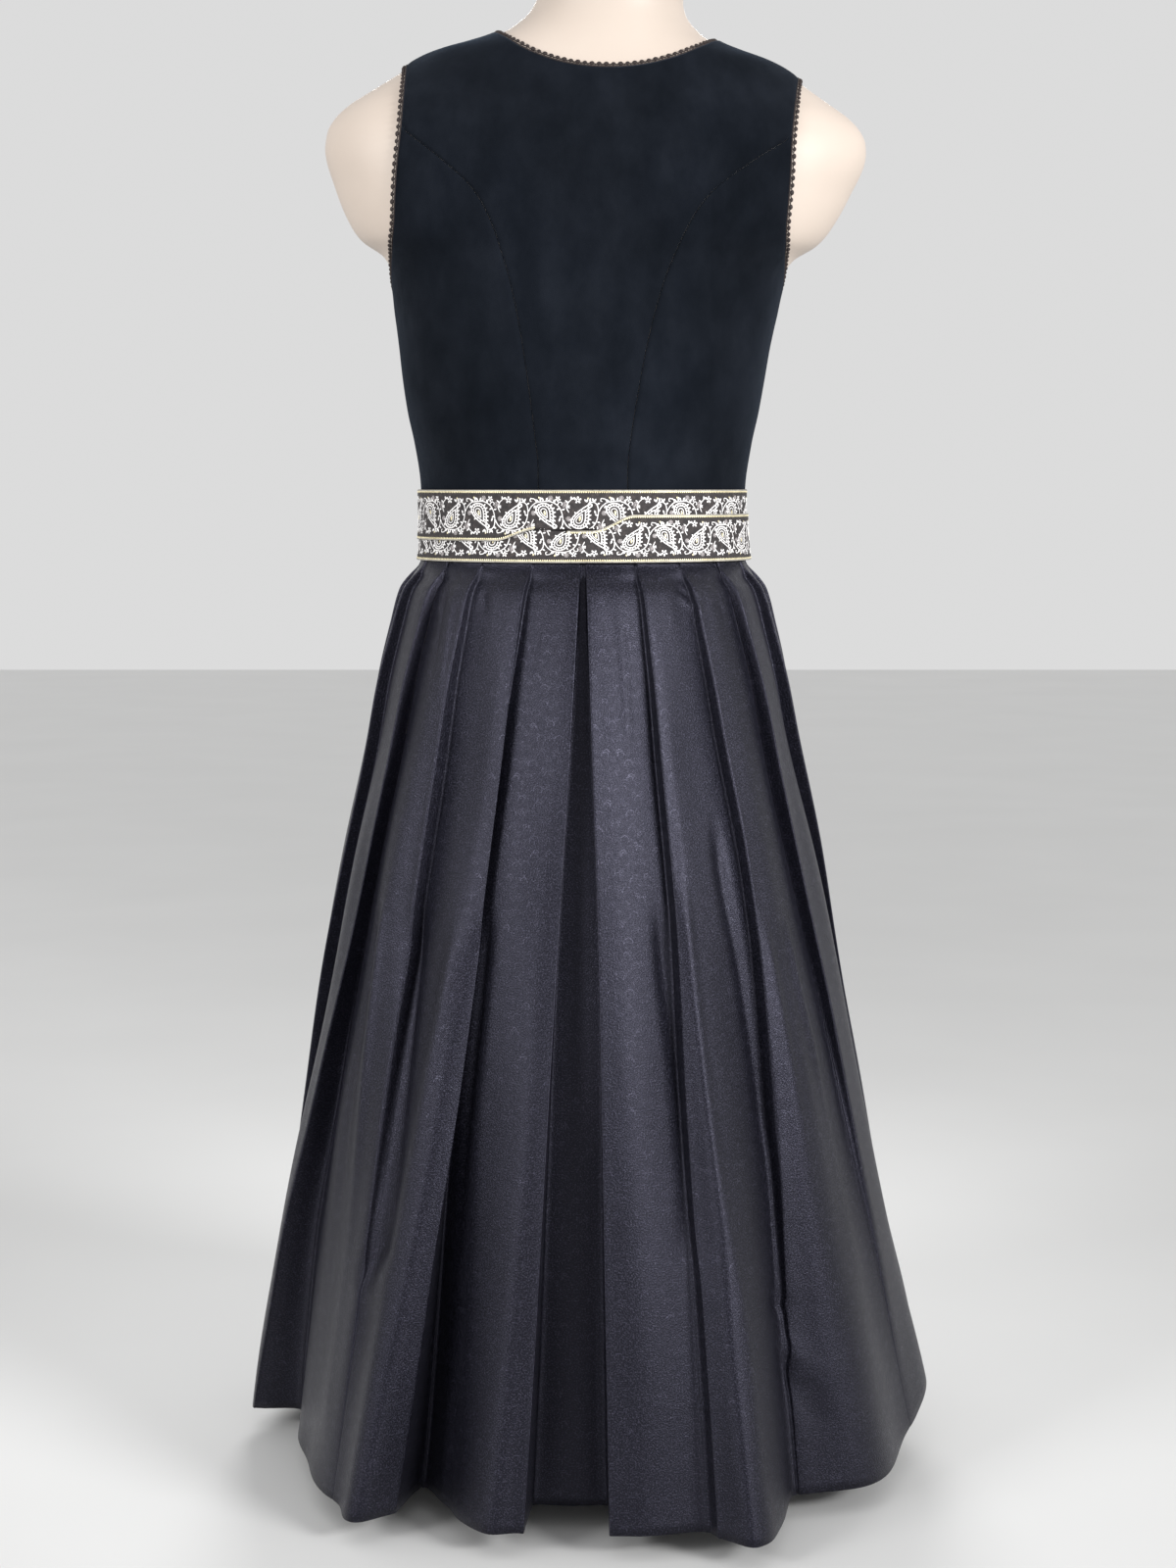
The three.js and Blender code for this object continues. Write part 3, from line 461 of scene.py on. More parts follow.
# Arches and flowers of the repeat: x, y, radius in mm.
ARCHES = [
    (-7, 0, 3.4), (7, 0, 3.4), (-13.2, 7.5, 2.6), (13.2, 7.5, 2.6), (0, 11.5, 2.6),
    (-5.2, -9.5, 2.3), (5.2, -9.5, 2.3),
]
FLOWERS = [(0, 2.2, 2.9), (-16, -3.5, 1.9), (16, -3.5, 1.9), (0, -14.5, 2.1)]
# Half widths of the figures' lines in mm. An arch is the part of its circle below ARCH_CUT radii.
ARCH_LINE, FLOWER_LINE, ARCH_CUT = 0.5, 0.42, 0.35
PETALS = 5


def jacquard_figure(m, u, v):
    """The arches and flowers: 1 on their lines and 0 elsewhere."""
    repeats = [m.times(along, UV_UNIT / size) for along, size in zip((u, v), REPEAT)]
    figure = None
    for shift in (0.0, 0.5):
        place = [
            m.times(m.math("SUBTRACT", m.math("FRACT", m.math("ADD", at, shift)), 0.5), size)
            for at, size in zip(repeats, REPEAT)
        ]
        for cx, cy, size in ARCHES + FLOWERS:
            dx = m.math("SUBTRACT", place[0], float(cx))
            dy = m.math("ADD", place[1], float(cy))
            radius = m.math("SQRT", m.math("ADD", m.times(dx, dx), m.times(dy, dy)))
            if (cx, cy, size) in ARCHES:
                shape = m.times(
                    m.on_line(radius, float(size), ARCH_LINE), m.below(dy, float(ARCH_CUT * size))
                )
            else:
                turn = m.math("ARCTAN2", dx, dy)
                petal = m.times(
                    m.math("COSINE", m.times(turn, float(PETALS))), 0.24 * size, 0.7 * size
                )
                core = m.below(radius, 0.22 * size)
                shape = m.larger(m.on_line(radius, petal, FLOWER_LINE), core)
            figure = shape if figure is None else m.larger(figure, shape)
    return figure


def jacquard_material():
    """Satin with small arches and flowers over a curly ground, woven tone on tone."""
    m = Maker("jacquard")
    u, v, _ = m.split(m.place("UV"))
    cloth = m.node(
        "ShaderNodeCombineXYZ", {0: m.times(u, float(UV_UNIT)), 1: m.times(v, float(UV_UNIT))}
    ).outputs[0]
    worn = m.ramp(m.noise(cloth, 0.09, 2, 0.5), (0.36, 0.25), (0.62, 1.0))
    figure = m.times(jacquard_figure(m, u, v), m.times(worn, 0.85))
    swirl = m.noise(cloth, 0.36, 1.5, 0.5)
    curls = m.math("ABSOLUTE", m.math("SINE", m.times(swirl, 30.0)))
    curls = m.ramp(curls, (0.5, 0.0), (0.95, 1.0))
    grain = m.ramp(m.noise(cloth, 0.8, 2, 0.6), (0.36, 0.0), (0.64, 1.0))
    wide = m.noise(cloth, 0.018, 3, 0.5)
    curls = m.times(curls, m.times(grain, 0.8, 0.2))
    pattern = m.larger(m.times(figure, 0.8), m.times(curls, 0.7))
    tone = m.times(pattern, 0.42, m.times(wide, 0.16, m.times(grain, 0.42)))
    colour = m.ramp(
        tone,
        (0.10, (0.0009, 0.0010, 0.0018)),
        (0.42, (0.0032, 0.0033, 0.0056)),
        (0.80, (0.0340, 0.0330, 0.0490)),
    )
    relief = m.bump(m.times(grain, 0.7, m.times(pattern, 0.6)), 0.42, 0.0004)
    relief = m.bump(m.noise(m.place(), 30, 2, 0.5), 0.15, 0.004, relief)
    m.set(
        Base_Color=colour, Roughness=m.ramp(pattern, (0.0, 0.42), (0.8, 0.3)), Normal=relief,
        Specular_IOR_Level=0.34, Specular_Tint=(0.76, 0.75, 1.0), Sheen_Weight=0.015,
        Sheen_Roughness=0.4, Sheen_Tint=(0.74, 0.74, 0.95),
    )
    return m.material


def ribbon_material():
    m = Maker("ribbon_ground")
    u, v, _ = m.split(m.place("UV"))
    weft = m.math("SINE", m.times(u, 900.0))
    warp = m.math("SINE", m.times(v, 1400.0))
    weave = m.times(weft, warp)
    mottle = m.noise(m.place(), 350, 3, 0.6)
    tone = m.times(weave, 0.15, mottle)
    colour = m.ramp(
        tone,
        (0.35, (0.009, 0.007, 0.008)),
        (0.6, (0.024, 0.018, 0.018)),
        (0.8, (0.07, 0.055, 0.05)),
    )
    m.set(Base_Color=colour, Roughness=0.62, Normal=m.bump(weave, 0.4, 0.0002))
    return m.material


def thread_material(name, dark, light, rough, metallic):
    m = Maker(name)
    at = m.place()
    fleck = m.noise(at, 1300, 2, 0.6)
    wide = m.noise(at, 90, 2, 0.5)
    tone = m.times(fleck, 0.7, m.times(wide, 0.35))
    m.set(
        Base_Color=m.ramp(tone, (0.34, dark), (0.62, light)),
        Roughness=rough,
        Metallic=metallic,
        Normal=m.bump(fleck, 0.5, 0.0002),
    )
    return m.material


def form_material():
    m = Maker("form_shell")
    at = m.place()
    tone = m.noise(at, 7, 4, 0.55)
    colour = m.ramp(tone, (0.3, (0.525, 0.446, 0.383)), (0.7, (0.565, 0.486, 0.422)))
    rough = m.ramp(m.noise(at, 40, 3, 0.6), (0.3, 0.42), (0.7, 0.55))
    orange_peel = m.bump(m.noise(at, 260, 2, 0.5), 0.06, 0.0006)
    m.set(Base_Color=colour, Roughness=rough, Normal=orange_peel, Specular_IOR_Level=0.35)
    return m.material


def steel_material():
    m = Maker("stand_steel")
    at = m.node("ShaderNodeMapping", {"Vector": m.place(), "Scale": (6, 6, 260)}).outputs[0]
    brush = m.noise(at, 20, 3, 0.6)
    m.set(
        Base_Color=m.ramp(brush, (0.3, (0.48, 0.48, 0.5)), (0.7, (0.66, 0.66, 0.68))),
        Roughness=m.ramp(brush, (0.3, 0.28), (0.7, 0.42)),
        Metallic=1.0,
        Normal=m.bump(brush, 0.15, 0.0002),
    )
    return m.material


VELVET = velvet_material()
JACQUARD = jacquard_material()
RIBBON = ribbon_material()
SILVER = thread_material("silver_thread", (0.50, 0.49, 0.50), (0.92, 0.90, 0.88), 0.5, 0.1)
PEWTER = thread_material("grey_thread", (0.16, 0.15, 0.15), (0.36, 0.33, 0.33), 0.55, 0.15)
EDGE = thread_material("edge_thread", (0.20, 0.185, 0.16), (0.46, 0.43, 0.37), 0.5, 0.15)
GOLD = thread_material("gold_thread", (0.50, 0.42, 0.24), (0.93, 0.85, 0.58), 0.42, 0.2)
BRAID = thread_material("braid_thread", (0.007, 0.0045, 0.0045), (0.026, 0.015, 0.013), 0.75, 0.0)
FORM = form_material()
STEEL = steel_material()


# ---- dress form and stand
def build_form():
    low, top = FIGURE_SECTIONS[0][0], FIGURE_TOP
    levels = np.concatenate([
        np.linspace(low, 930, 50), np.linspace(UNDERARM, 1175, 90), np.linspace(1177, top, 6),
    ])
    around = 160
    angles = np.arange(around) * 2 * math.pi / around
    points = lean(figure_point(angles[None, :], levels[:, None], FORM_INSET))
    obj = grid_object("form_shell", points, FORM, from_axis, closed=True)
    mesh = obj.data
    bm = bmesh.new()
    bm.from_mesh(mesh)
    bmesh.ops.holes_fill(bm, edges=[e for e in bm.edges if e.is_boundary], sides=0)
    bmesh.ops.recalc_face_normals(bm, faces=bm.faces)
    bm.to_mesh(mesh)
    bm.free()
    mesh.set_sharp_from_angle(angle=50 * DEGREE)
    piece(obj, "form_shell", "dress_form")


build_form()
for name in ("stand_base", "stand_pole"):
    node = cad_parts[name]
    node.data.materials.clear()
    node.data.materials.append(STEEL)


# ---- bodice
ARMHOLE_MIDDLE = (UNDERARM + SHOULDER_TIP) / 2
ARMHOLE_HALF = (SHOULDER_TIP - UNDERARM) / 2
# How far the front armhole reaches forward, and how round it is below and above its middle.
FRONT_ARMHOLE = {"reach": 68, "powers": (1.35, 1.3)}
# The back armhole's edge: z, distance from the centre line.
BACK_ARMHOLE = [
    (938, 152), (942, 152.4), (950, 152.3), (956, 152), (963, 151.3), (970, 150.9), (978, 149.8),
    (986, 149.3), (1006, 149.5), (1018, 149.5), (1030, 149.2), (1042, 148.7), (1054, 148.5),
    (1074, 149), (1084, 149.6), (1092, 150), (1100, 151), (1106, 152),
]
[back_armhole] = table_curves(BACK_ARMHOLE)
[back_seam] = table_curves(BACK_SEAM)
[front_seam] = table_curves(FRONT_SEAM)
# Of each face of the bodice: the heights where its princess seam ends and its neckline is lowest,
# how round the neckline is, and between which heights the columns turn upright.
BACK = {
    "depth": figure_back, "seam": back_seam, "seam_top": 1054, "low": NAPE, "power": 2.2,
    "spread": (1010, 1080), "front": False,
}
FRONT = {
    "depth": figure_front, "seam": front_seam, "seam_top": 1006, "low": FRONT_NECK, "power": 3.4,
    "spread": (915, 983), "front": True,
}


def angle_at_width(x, z):
    return np.arcsin(np.clip(x / figure_half(z), 0, 1))


def edge_angle(face, z):
    """Where the armhole's edge is: the side itself below the armhole and above it."""
    z = np.asarray(z, float)
    if face["front"]:
        turn = np.arccos(np.clip((ARMHOLE_MIDDLE - z) / (SHOULDER_TIP - ARMHOLE_MIDDLE), -1, 1))
        power = np.where(z < ARMHOLE_MIDDLE, *FRONT_ARMHOLE["powers"])
        reach = FRONT_ARMHOLE["reach"] * np.sin(turn) ** power / figure_front(z)
        edge = np.arccos(np.clip(reach, 0, 1))
    else:
        edge = angle_at_width(back_armhole(z), z)
    return np.where((z <= UNDERARM) | (z >= SHOULDER_TIP), QUARTER, edge)


def centre_half(face, z):
    edge = figure_half(z) * np.sin(edge_angle(face, z))
    seam = np.minimum(face["seam"](z), edge - SEAM_TIP) - SEAM_GAP / 2
    return np.where(z > face["seam_top"], edge, seam)


_heights = np.linspace(SHOULDER_TIP, FIGURE_TOP - 0.1, 3000)


def shoulder_height(x):
    return np.interp(x, figure_half(_heights)[::-1], _heights[::-1])


NECK_POINT = float(shoulder_height(NECK_POINT_HALF))


def top_height(face, x):
    share = np.minimum(x, NECK_POINT_HALF) / NECK_POINT_HALF
    neck = face["low"] + (NECK_POINT - face["low"]) * share ** face["power"]
    return np.where(x >= NECK_POINT_HALF, shoulder_height(x), neck)


neck_share = curve(range(len(NECK_SHARES)), NECK_SHARES)


def centre_place(face, column, level):
    """column runs from 0 at the centre line to 1 at the outer edge."""
    steps = len(NECK_SHARES) - 1
    even = np.minimum(column / NECK_COLUMNS_AT_WAIST, 1)
    neck = neck_share(even * steps)
    shoulder = np.clip((column - NECK_COLUMNS_AT_WAIST) / (1 - NECK_COLUMNS_AT_WAIST), 0, 1)
    top = neck * NECK_POINT_HALF + shoulder * (SHOULDER_TIP_HALF - NECK_POINT_HALF)
    fan = np.maximum(0, (level - UNDERARM) / (SHOULDER_TIP - UNDERARM))
    z = level + (top_height(face, top) - SHOULDER_TIP) * fan
    start, stop = face["spread"]
    upright = smooth((level - start) / (stop - start))
    edge = centre_half(face, level)
    inner = NECK_COLUMNS_AT_WAIST * edge
    inner = inner + (NECK_POINT_HALF - inner) * upright
    x = inner * (even + (neck - even) * upright)
    x = x + (edge - x) * shoulder
    slack = SEAM_GAP / 2 / face["depth"](z)
    return np.minimum(angle_at_width(x, z), QUARTER - slack), z


def body_angle(face, side, angle):
    return side * (math.pi - angle if face["front"] else angle)


def armhole_heights(count):
    """Heights up the armhole, close together near its ends."""
    return ARMHOLE_MIDDLE - ARMHOLE_HALF * np.cos(np.linspace(0, math.pi, count))


def bodice_levels(top):
    low = np.linspace(WAIST_SEAM + SEAM_GAP, UNDERARM, 44)
    levels = np.concatenate([low, armhole_heights(60)[1:]])
    return np.append(levels[levels < top - 0.5], top)[:, None]


BODY_RADIUS = 125
# Soft wrinkles in the velvet: height, width across in mm, from (turn, z) to (turn, z).
VELVET_WRINKLES = [
    (-1.1, 3.5, (-42, 970), (-33, 1000)),
    (0.8, 4.5, (-44, 962), (-34, 990)),
    (-0.9, 5, (-30, 930), (-48, 905)),
    (-0.8, 6, (30, 935), (52, 900)),
    (0.7, 7, (20, 830), (62, 812)),
    (-0.7, 6, (-18, 822), (-60, 808)),
    (-0.7, 7, (-20, 800), (35, 806)),
    (0.7, 6, (-25, 812), (30, 818)),
    (-0.8, 7, (68, 930), (88, 905)),
    (-0.8, 7, (-68, 930), (-88, 905)),
    (0.6, 9, (-8, 1060), (-20, 960)),
    (-0.6, 10, (12, 1050), (26, 950)),
    (0.7, 7, (118, 880), (150, 905)),
    (-0.7, 7, (-120, 880), (-150, 902)),
    (0.7, 6, (120, 800), (175, 806)),
    (-0.7, 6, (-125, 806), (-170, 812)),
]


def creased(turn, z, radius, table):
    """Sum of short creases at places given by turn in degrees and height."""
    total = np.zeros(np.broadcast(turn, z).shape)
    for height, width, (turn_a, z_a), (turn_b, z_b) in table:
        ax, bx = turn_a * DEGREE * radius, turn_b * DEGREE * radius
        dx, dz = bx - ax, z_b - z_a
        length = np.hypot(dx, dz)
        px, pz = turn * DEGREE * radius - ax, z - z_a
        along = (px * dx + pz * dz) / length
        across = (pz * dx - px * dz) / length
        fade = 0.3 * length
        window = smooth(along / fade + 0.15) * smooth((length - along) / fade + 0.15)
        total = total + height * window * np.exp(-(across / width) ** 2)
    return total


def velvet_relief(angle, z):
    turn = (angle / DEGREE + 180) % 360 - 180
    drift = 0.35 * np.sin(turn / 17 + z / 31) + 0.25 * np.sin(turn / 9 - z / 47 + 1.3)
    fade = smooth((z - 785) / 30)
    return (creased(turn, z, BODY_RADIUS, VELVET_WRINKLES) + drift) * fade


def edge_dip(distance, depth=0.6, wide=1.3):
    return -depth * np.exp(-(distance / wide) ** 2)


def bodice_panel(name, angle, z):
    """angle and z are (rows, columns) arrays."""
    surface = figure_point(angle, z)
    run, rise = run_of(surface, 1), run_of(surface, 0)
    out = FORM_CLEARANCE + BODICE_WALL + velvet_relief(angle, z)
    out = out + edge_dip(np.minimum(run, run[:, -1:] - run)) + edge_dip(rise[-1:] - rise)
    out = np.maximum(out, FORM_CLEARANCE + VELVET_SHEET)
    points = lean(shell_point(angle, z, out))
    obj = grid_object(name, points, VELVET, outward_of_body, grid_uv(run, rise))
    return thicken(obj, VELVET_SHEET)


def outward_of_body(points):
    out = points.copy()
    out[:, 0] *= 0.5
    out[:, 2] = np.maximum(0, points[:, 2] - 1000) * 0.6
    return out


BODICE = {}


def build_bodice():
    half = np.linspace(0, 1, 56)[None, :]
    step = np.linspace(0, 1, 44)[None, :]
    levels = bodice_levels(SHOULDER_TIP)
    angle, z = centre_place(BACK, half, levels)
    both_angle = np.concatenate([-angle[:, :0:-1], angle], axis=1)
    both_z = np.concatenate([z[:, :0:-1], z], axis=1)
    BODICE["bodice_back"] = bodice_panel("velvet_back", both_angle, both_z)
    for side, word in SIDES:
        angle, z = centre_place(FRONT, half, levels)
        slack = SEAM_GAP / 2 / figure_half(z)
        angle = body_angle(FRONT, side, np.maximum(angle, slack))
        BODICE[f"bodice_front_{word}"] = bodice_panel(f"velvet_front_{word}", angle, z)
        for face, place in ((BACK, "back"), (FRONT, "front")):
            level = bodice_levels(face["seam_top"])
            seam = angle_at_width(centre_half(face, level) + SEAM_GAP, level)
            slack = np.where(level > UNDERARM, 0, SEAM_GAP / 2 / face["depth"](level))
            edge = edge_angle(face, level) - slack
            angle = body_angle(face, side, seam + (edge - seam) * step)
            z = np.broadcast_to(level, angle.shape)
            panel = bodice_panel(f"velvet_side_{place}_{word}", angle, z)
            BODICE[f"bodice_side_{place}_{word}"] = panel
    for node, obj in BODICE.items():
        piece(obj, "velvet", node)


build_bodice()


# ---- tubes and beads
def tube(path, radius, sides=6, closed=True):
    """Points and faces of a tube along a path of points."""
    if closed:
        along = unit(np.roll(path, -1, axis=0) - np.roll(path, 1, axis=0))
    else:
        longer = np.vstack([path[:1] * 2 - path[1:2], path, path[-1:] * 2 - path[-2:-1]])
        along = unit(longer[2:] - longer[:-2])
    helper = unit(np.cross(along, np.array([0.31, 0.17, 0.94])))
    other = np.cross(along, helper)
    turns = (np.arange(sides) * 2 * math.pi / sides)[None, :, None]
    ring = (
        path[:, None, :]
        + radius * np.cos(turns) * helper[:, None, :]
        + radius * np.sin(turns) * other[:, None, :]
    )
    count = len(path)
    faces = []
    for i in range(count if closed else count - 1):
        here, ahead = i * sides, (i + 1) % count * sides
        for k in range(sides):
            n = (k + 1) % sides
            faces.append((here + k, here + n, ahead + n, ahead + k))
    return ring.reshape(-1, 3), faces


def bead_points(centre, axes, size, rows=6, around=8):
    """A flattened ball. axes is three unit vectors, size the three half sizes."""
    lon = np.arange(around) * 2 * math.pi / around
    shape = [np.array([[0, 0, -1.0]])]
    for a in (np.arange(1, rows) / rows - 0.5) * math.pi:
        flat = np.cos(a) * np.cos(lon), np.cos(a) * np.sin(lon), np.full(around, np.sin(a))
        shape.append(np.stack(flat, -1))
    shape.append(np.array([[0, 0, 1.0]]))
    points = centre + np.vstack(shape) * np.array(size) @ np.array(axes)
    last = len(points) - 1
    faces = []
    for k in range(around):
        n = (k + 1) % around
        faces.append((0, 1 + n, 1 + k))
        faces.append((last, last - around + k, last - around + n))
        for r in range(rows - 2):
            a = 1 + r * around
            faces.append((a + k, a + n, a + around + n, a + around + k))
    return points, faces


def soup_object(name, chunks, material):
    """One object out of several (points, faces) chunks."""
    points, faces, start = [], [], 0
    for p, f in chunks:
        points.append(p)
        faces.extend([tuple(int(i) + start for i in face) for face in f])
        start += len(p)
    return smooth_object(name, np.vstack(points), faces, material)


# ---- picot braid
# A picot's pitch, its bead's half sizes and place beyond the edge, and its threads' radii.
PICOT = {
    "pitch": 5.5, "bead": (2.0, 1.6, 1.05), "bead_at": 2.75, "thread": 0.5, "base": 0.7,
    "stem": 0.55,
}


class Edge:
    """A closed edge on the body: place(s, d, h) gives the point s mm along it, d mm beyond the
    cloth's edge and h mm above the cloth's inner face. inward is a point in the opening, or one
    for each place on the edge."""

    def __init__(self, angle, z, inward):
        base = figure_point(angle, z)
        along = unit(np.roll(base, -1, axis=0) - np.roll(base, 1, axis=0))
        across = unit(np.cross(shell_normal(angle, z), along))
        across[np.einsum("ij,ij->i", across, inward - base) < 0] *= -1
        self.base = np.vstack([base, base[:1]])
        self.across = np.vstack([across, across[:1]])
        self.run = run_of(self.base)
        self.length = self.run[-1]

    def between(self, s, values):
        return np.stack([np.interp(s, self.run, values[:, k]) for k in range(3)], -1)

    def place(self, s, d, h):
        s = np.mod(s, self.length)
        d, h = np.broadcast_to(d, s.shape), np.broadcast_to(h, s.shape)
        free = self.between(s, self.base) + unit(self.between(s, self.across)) * d[..., None]
        return lean(shell_point(on_figure(free), free[..., 2], FORM_CLEARANCE + h))


def picot_trim(name, edge, node):
    count = round(edge.length / PICOT["pitch"])
    pitch = edge.length / count
    steps = 12
    t = np.arange(count * steps) / steps
    phase = 2 * math.pi * t
    s = pitch * t
    far = PICOT["bead_at"]
    wave = far - 0.75 * (1 + np.cos(phase)) / 2
    chunks = [
        tube(edge.place(s, 0.35 + 0.1 * np.sin(2 * phase), 0.95), PICOT["base"]),
        tube(edge.place(s, wave, 0.85), PICOT["thread"]),
    ]
    for i in range(count):
        at = pitch * (i + 0.5)
        sites = edge.place(
            np.array([at - 0.3, at + 0.3, at, at]), np.array([far, far, far - 0.2, far + 0.2]), 0.9
        )
        along = unit(sites[1] - sites[0])
        across = unit(sites[3] - sites[2])
        swell = 1 + 0.08 * math.sin(i * 2.7)
        size = [value * swell for value in PICOT["bead"]]
        axes = [along, across, np.cross(along, across)]
        chunks.append(bead_points((sites[0] + sites[1]) / 2, axes, size))
        stem = edge.place(np.full(4, at), np.array([0.3, 0.9, 1.5, 2.2]), 0.85)
        chunks.append(tube(stem, PICOT["stem"], closed=False))
    return piece(soup_object(name, chunks, BRAID), "braid", node)


def armhole_edge(side):
    up = armhole_heights(160)
    down = up[-2:0:-1]
    angle = np.concatenate([
        body_angle(BACK, side, edge_angle(BACK, up)),
        body_angle(FRONT, side, edge_angle(FRONT, down)),
    ])
    z = np.concatenate([up, down])
    # the armhole's middle, at each point's own place across
    inward = figure_point(angle, z) * [1, 0, 0] + [0, 0, ARMHOLE_MIDDLE]
    return Edge(angle, z, inward)


def neck_edge():
    x = np.sin(np.linspace(0, QUARTER, 90)) * NECK_POINT_HALF
    angles, heights = [], []
    for face, side, xs in (
        (BACK, LEFT, x), (FRONT, LEFT, x[-2::-1]), (FRONT, RIGHT, x[1:]), (BACK, RIGHT, x[-2:0:-1]),
    ):
        heights.append(top_height(face, xs))
        angles.append(body_angle(face, side, angle_at_width(xs, heights[-1])))
    inward = np.array([0, 0, FIGURE_TOP])
    return Edge(np.concatenate(angles), np.concatenate(heights), inward)


TRIMS = [
    picot_trim("picot_armhole_left", armhole_edge(LEFT), "armhole_trim_left"),
    picot_trim("picot_armhole_right", armhole_edge(RIGHT), "armhole_trim_right"),
    picot_trim("picot_neckline", neck_edge(), "neckline_trim"),
]


# ---- belt
def change_over(turn):
    return smooth((turn - BELT["cross_from"]) / (BELT["cross_to"] - BELT["cross_from"]))


def spread(turn):
    beyond = np.maximum(np.maximum(BELT["cross_from"] - turn, turn - BELT["cross_to"]), 0)
    return smooth(beyond / BELT["ramp"])


def belt_reach(upper, turn):
    """Lowest and highest place of a pass at a turn."""
    gap = BELT["cross_gap"] / 2
    open_ = spread(turn)
    if upper:
        open_ = np.where(turn > 0, smooth((turn - BELT["late"][0]) / BELT["late"][1]), open_)
        low = BELT["cross_height"] + gap
        return low + (BELT["upper_low"] - low) * open_, np.full_like(open_, BELT["top"])
    high = BELT["cross_height"] - gap
    return np.full_like(open_, BELT["low"]), high + (BELT["lower_high"] - high) * open_


def belt_height(upper, across):
    """Height of a place across mm from the ribbon's middle line."""
    share = across / BELT["width"] + 0.5
    low, high = (BELT["upper_low"], BELT["top"]) if upper else (BELT["low"], BELT["lower_high"])
    return low + (high - low) * share


def belt_point(upper, turn, z, above):
    outer = change_over(turn) if upper else 1 - change_over(turn)
    room = BELT["pleat_room"] * (BELT["top"] - z) / (BELT["top"] - BELT["low"])
    over_bodice = FORM_CLEARANCE + BODICE_WALL + RIBBON_GAP
    out = over_bodice + room + outer * (RIBBON_WALL + RIBBON_GAP) + RIBBON_WALL
    return shell_point(turn * DEGREE, z, out + above)


# The ribbon's length is measured along the upper pass at this height.
BELT_LINE = 755
_turns = np.linspace(-180, 180, 1441)
_run = run_of(belt_point(True, _turns, np.full_like(_turns, BELT_LINE), 0))
BELT_LENGTH = float(_run[-1])
BELT_ZERO = float(np.interp(0, _turns, _run))


def belt_turn(run):
    return np.interp(run, _run, _turns)


def ribbon_band(name, upper):
    slack = SEAM_GAP / 2 / figure_front(BELT["top"]) / DEGREE
    turn = np.linspace(-180 + slack, 180 - slack, 560)
    rows = np.linspace(0, 1, 13)[:, None]
    low, high = belt_reach(upper, turn)
    z = low[None, :] + (high - low)[None, :] * rows
    wide = np.broadcast_to(turn[None, :], z.shape)
    sag = edge_dip(z - z[:1], 0.25, 1.0) + edge_dip(z[-1:] - z, 0.25, 1.0)
    points = belt_point(upper, wide, z, sag)
    run = np.broadcast_to(np.interp(turn, _turns, _run)[None, :], z.shape)
    return thicken(grid_object(name, points, RIBBON, from_axis, grid_uv(run, z)), RIBBON_SHEET)


# The ribbon's motif is charted in mm from the left end and the middle line of a half repeat. Each
# next half repeat is turned upside down.
HALF_REPEAT = 27.2
# Where a half repeat starts, from the centre back: on the lower pass, on the upper pass.
MOTIF_SHIFT = (3.0, -12.0)


def spline(points, steps):
    """A smooth open line through points."""
    p = np.array(points, float)
    run = run_of(p)
    at = np.linspace(0, run[-1], steps)
    return np.stack([curve(run, p[:, 0])(at), curve(run, p[:, 1])(at)], -1)


def teardrop(size, bend, steps, centre=(13.6, -0.6)):
    """A paisley's outline. size is its half width and half height, bend how far its tip leans."""
    t = np.linspace(0.05, 2 * math.pi - 0.05, steps)
    x = size[0] * np.sin(t) * np.sin(t / 2) ** 1.1
    y = size[1] * np.cos(t)
    lifted = (y + size[1]) / (2 * size[1])
    x = x - bend * lifted ** 2.2
    return np.stack([x + centre[0] + 1.5, y + centre[1]], -1)


def leaf(x, y, length, width, angle, steps=6):
    t = np.linspace(0, 1, steps)
    a = angle * DEGREE
    line = np.stack([x + length * t * math.cos(a), y + length * t * math.sin(a)], -1)
    return line, width * np.sin(math.pi * (0.08 + 0.84 * t))


def ring(x, y, radius, width, steps=12):
    t = np.linspace(0, 2 * math.pi, steps)
    return np.stack([x + radius * np.cos(t), y + radius * np.sin(t)], -1), np.full(steps, width)


def even(line, width):
    ends = np.minimum(1, np.minimum(np.arange(len(line)), np.arange(len(line))[::-1]) / 1.5 + 0.45)
    return line, width * ends


# Vines and tendrils: places, steps, width.
STEMS = [
    ([(0, 3), (1.2, -3), (4.6, -8.4), (11.5, -11.2), (19.5, -10.6), (24.6, -7.2),
      (HALF_REPEAT, -3)], 26, 0.75),
    ([(20.5, -10.4), (22.4, -13.0), (25.2, -13.4), (25.6, -11.4), (24.2, -11.0)], 12, 0.7),
    ([(4.6, -8.4), (2.4, -10.8), (0.6, -9.6), (1.4, -8.0)], 9, 0.7),
    ([(0, 3), (0.6, 7.2), (3.4, 10.4), (6.8, 10.6), (7.6, 8.8), (6.2, 8.2)], 14, 0.75),
    ([(22.8, 2.6), (24.4, 6.4), (23.2, 10.2), (20.4, 12.8)], 11, 0.7),
]
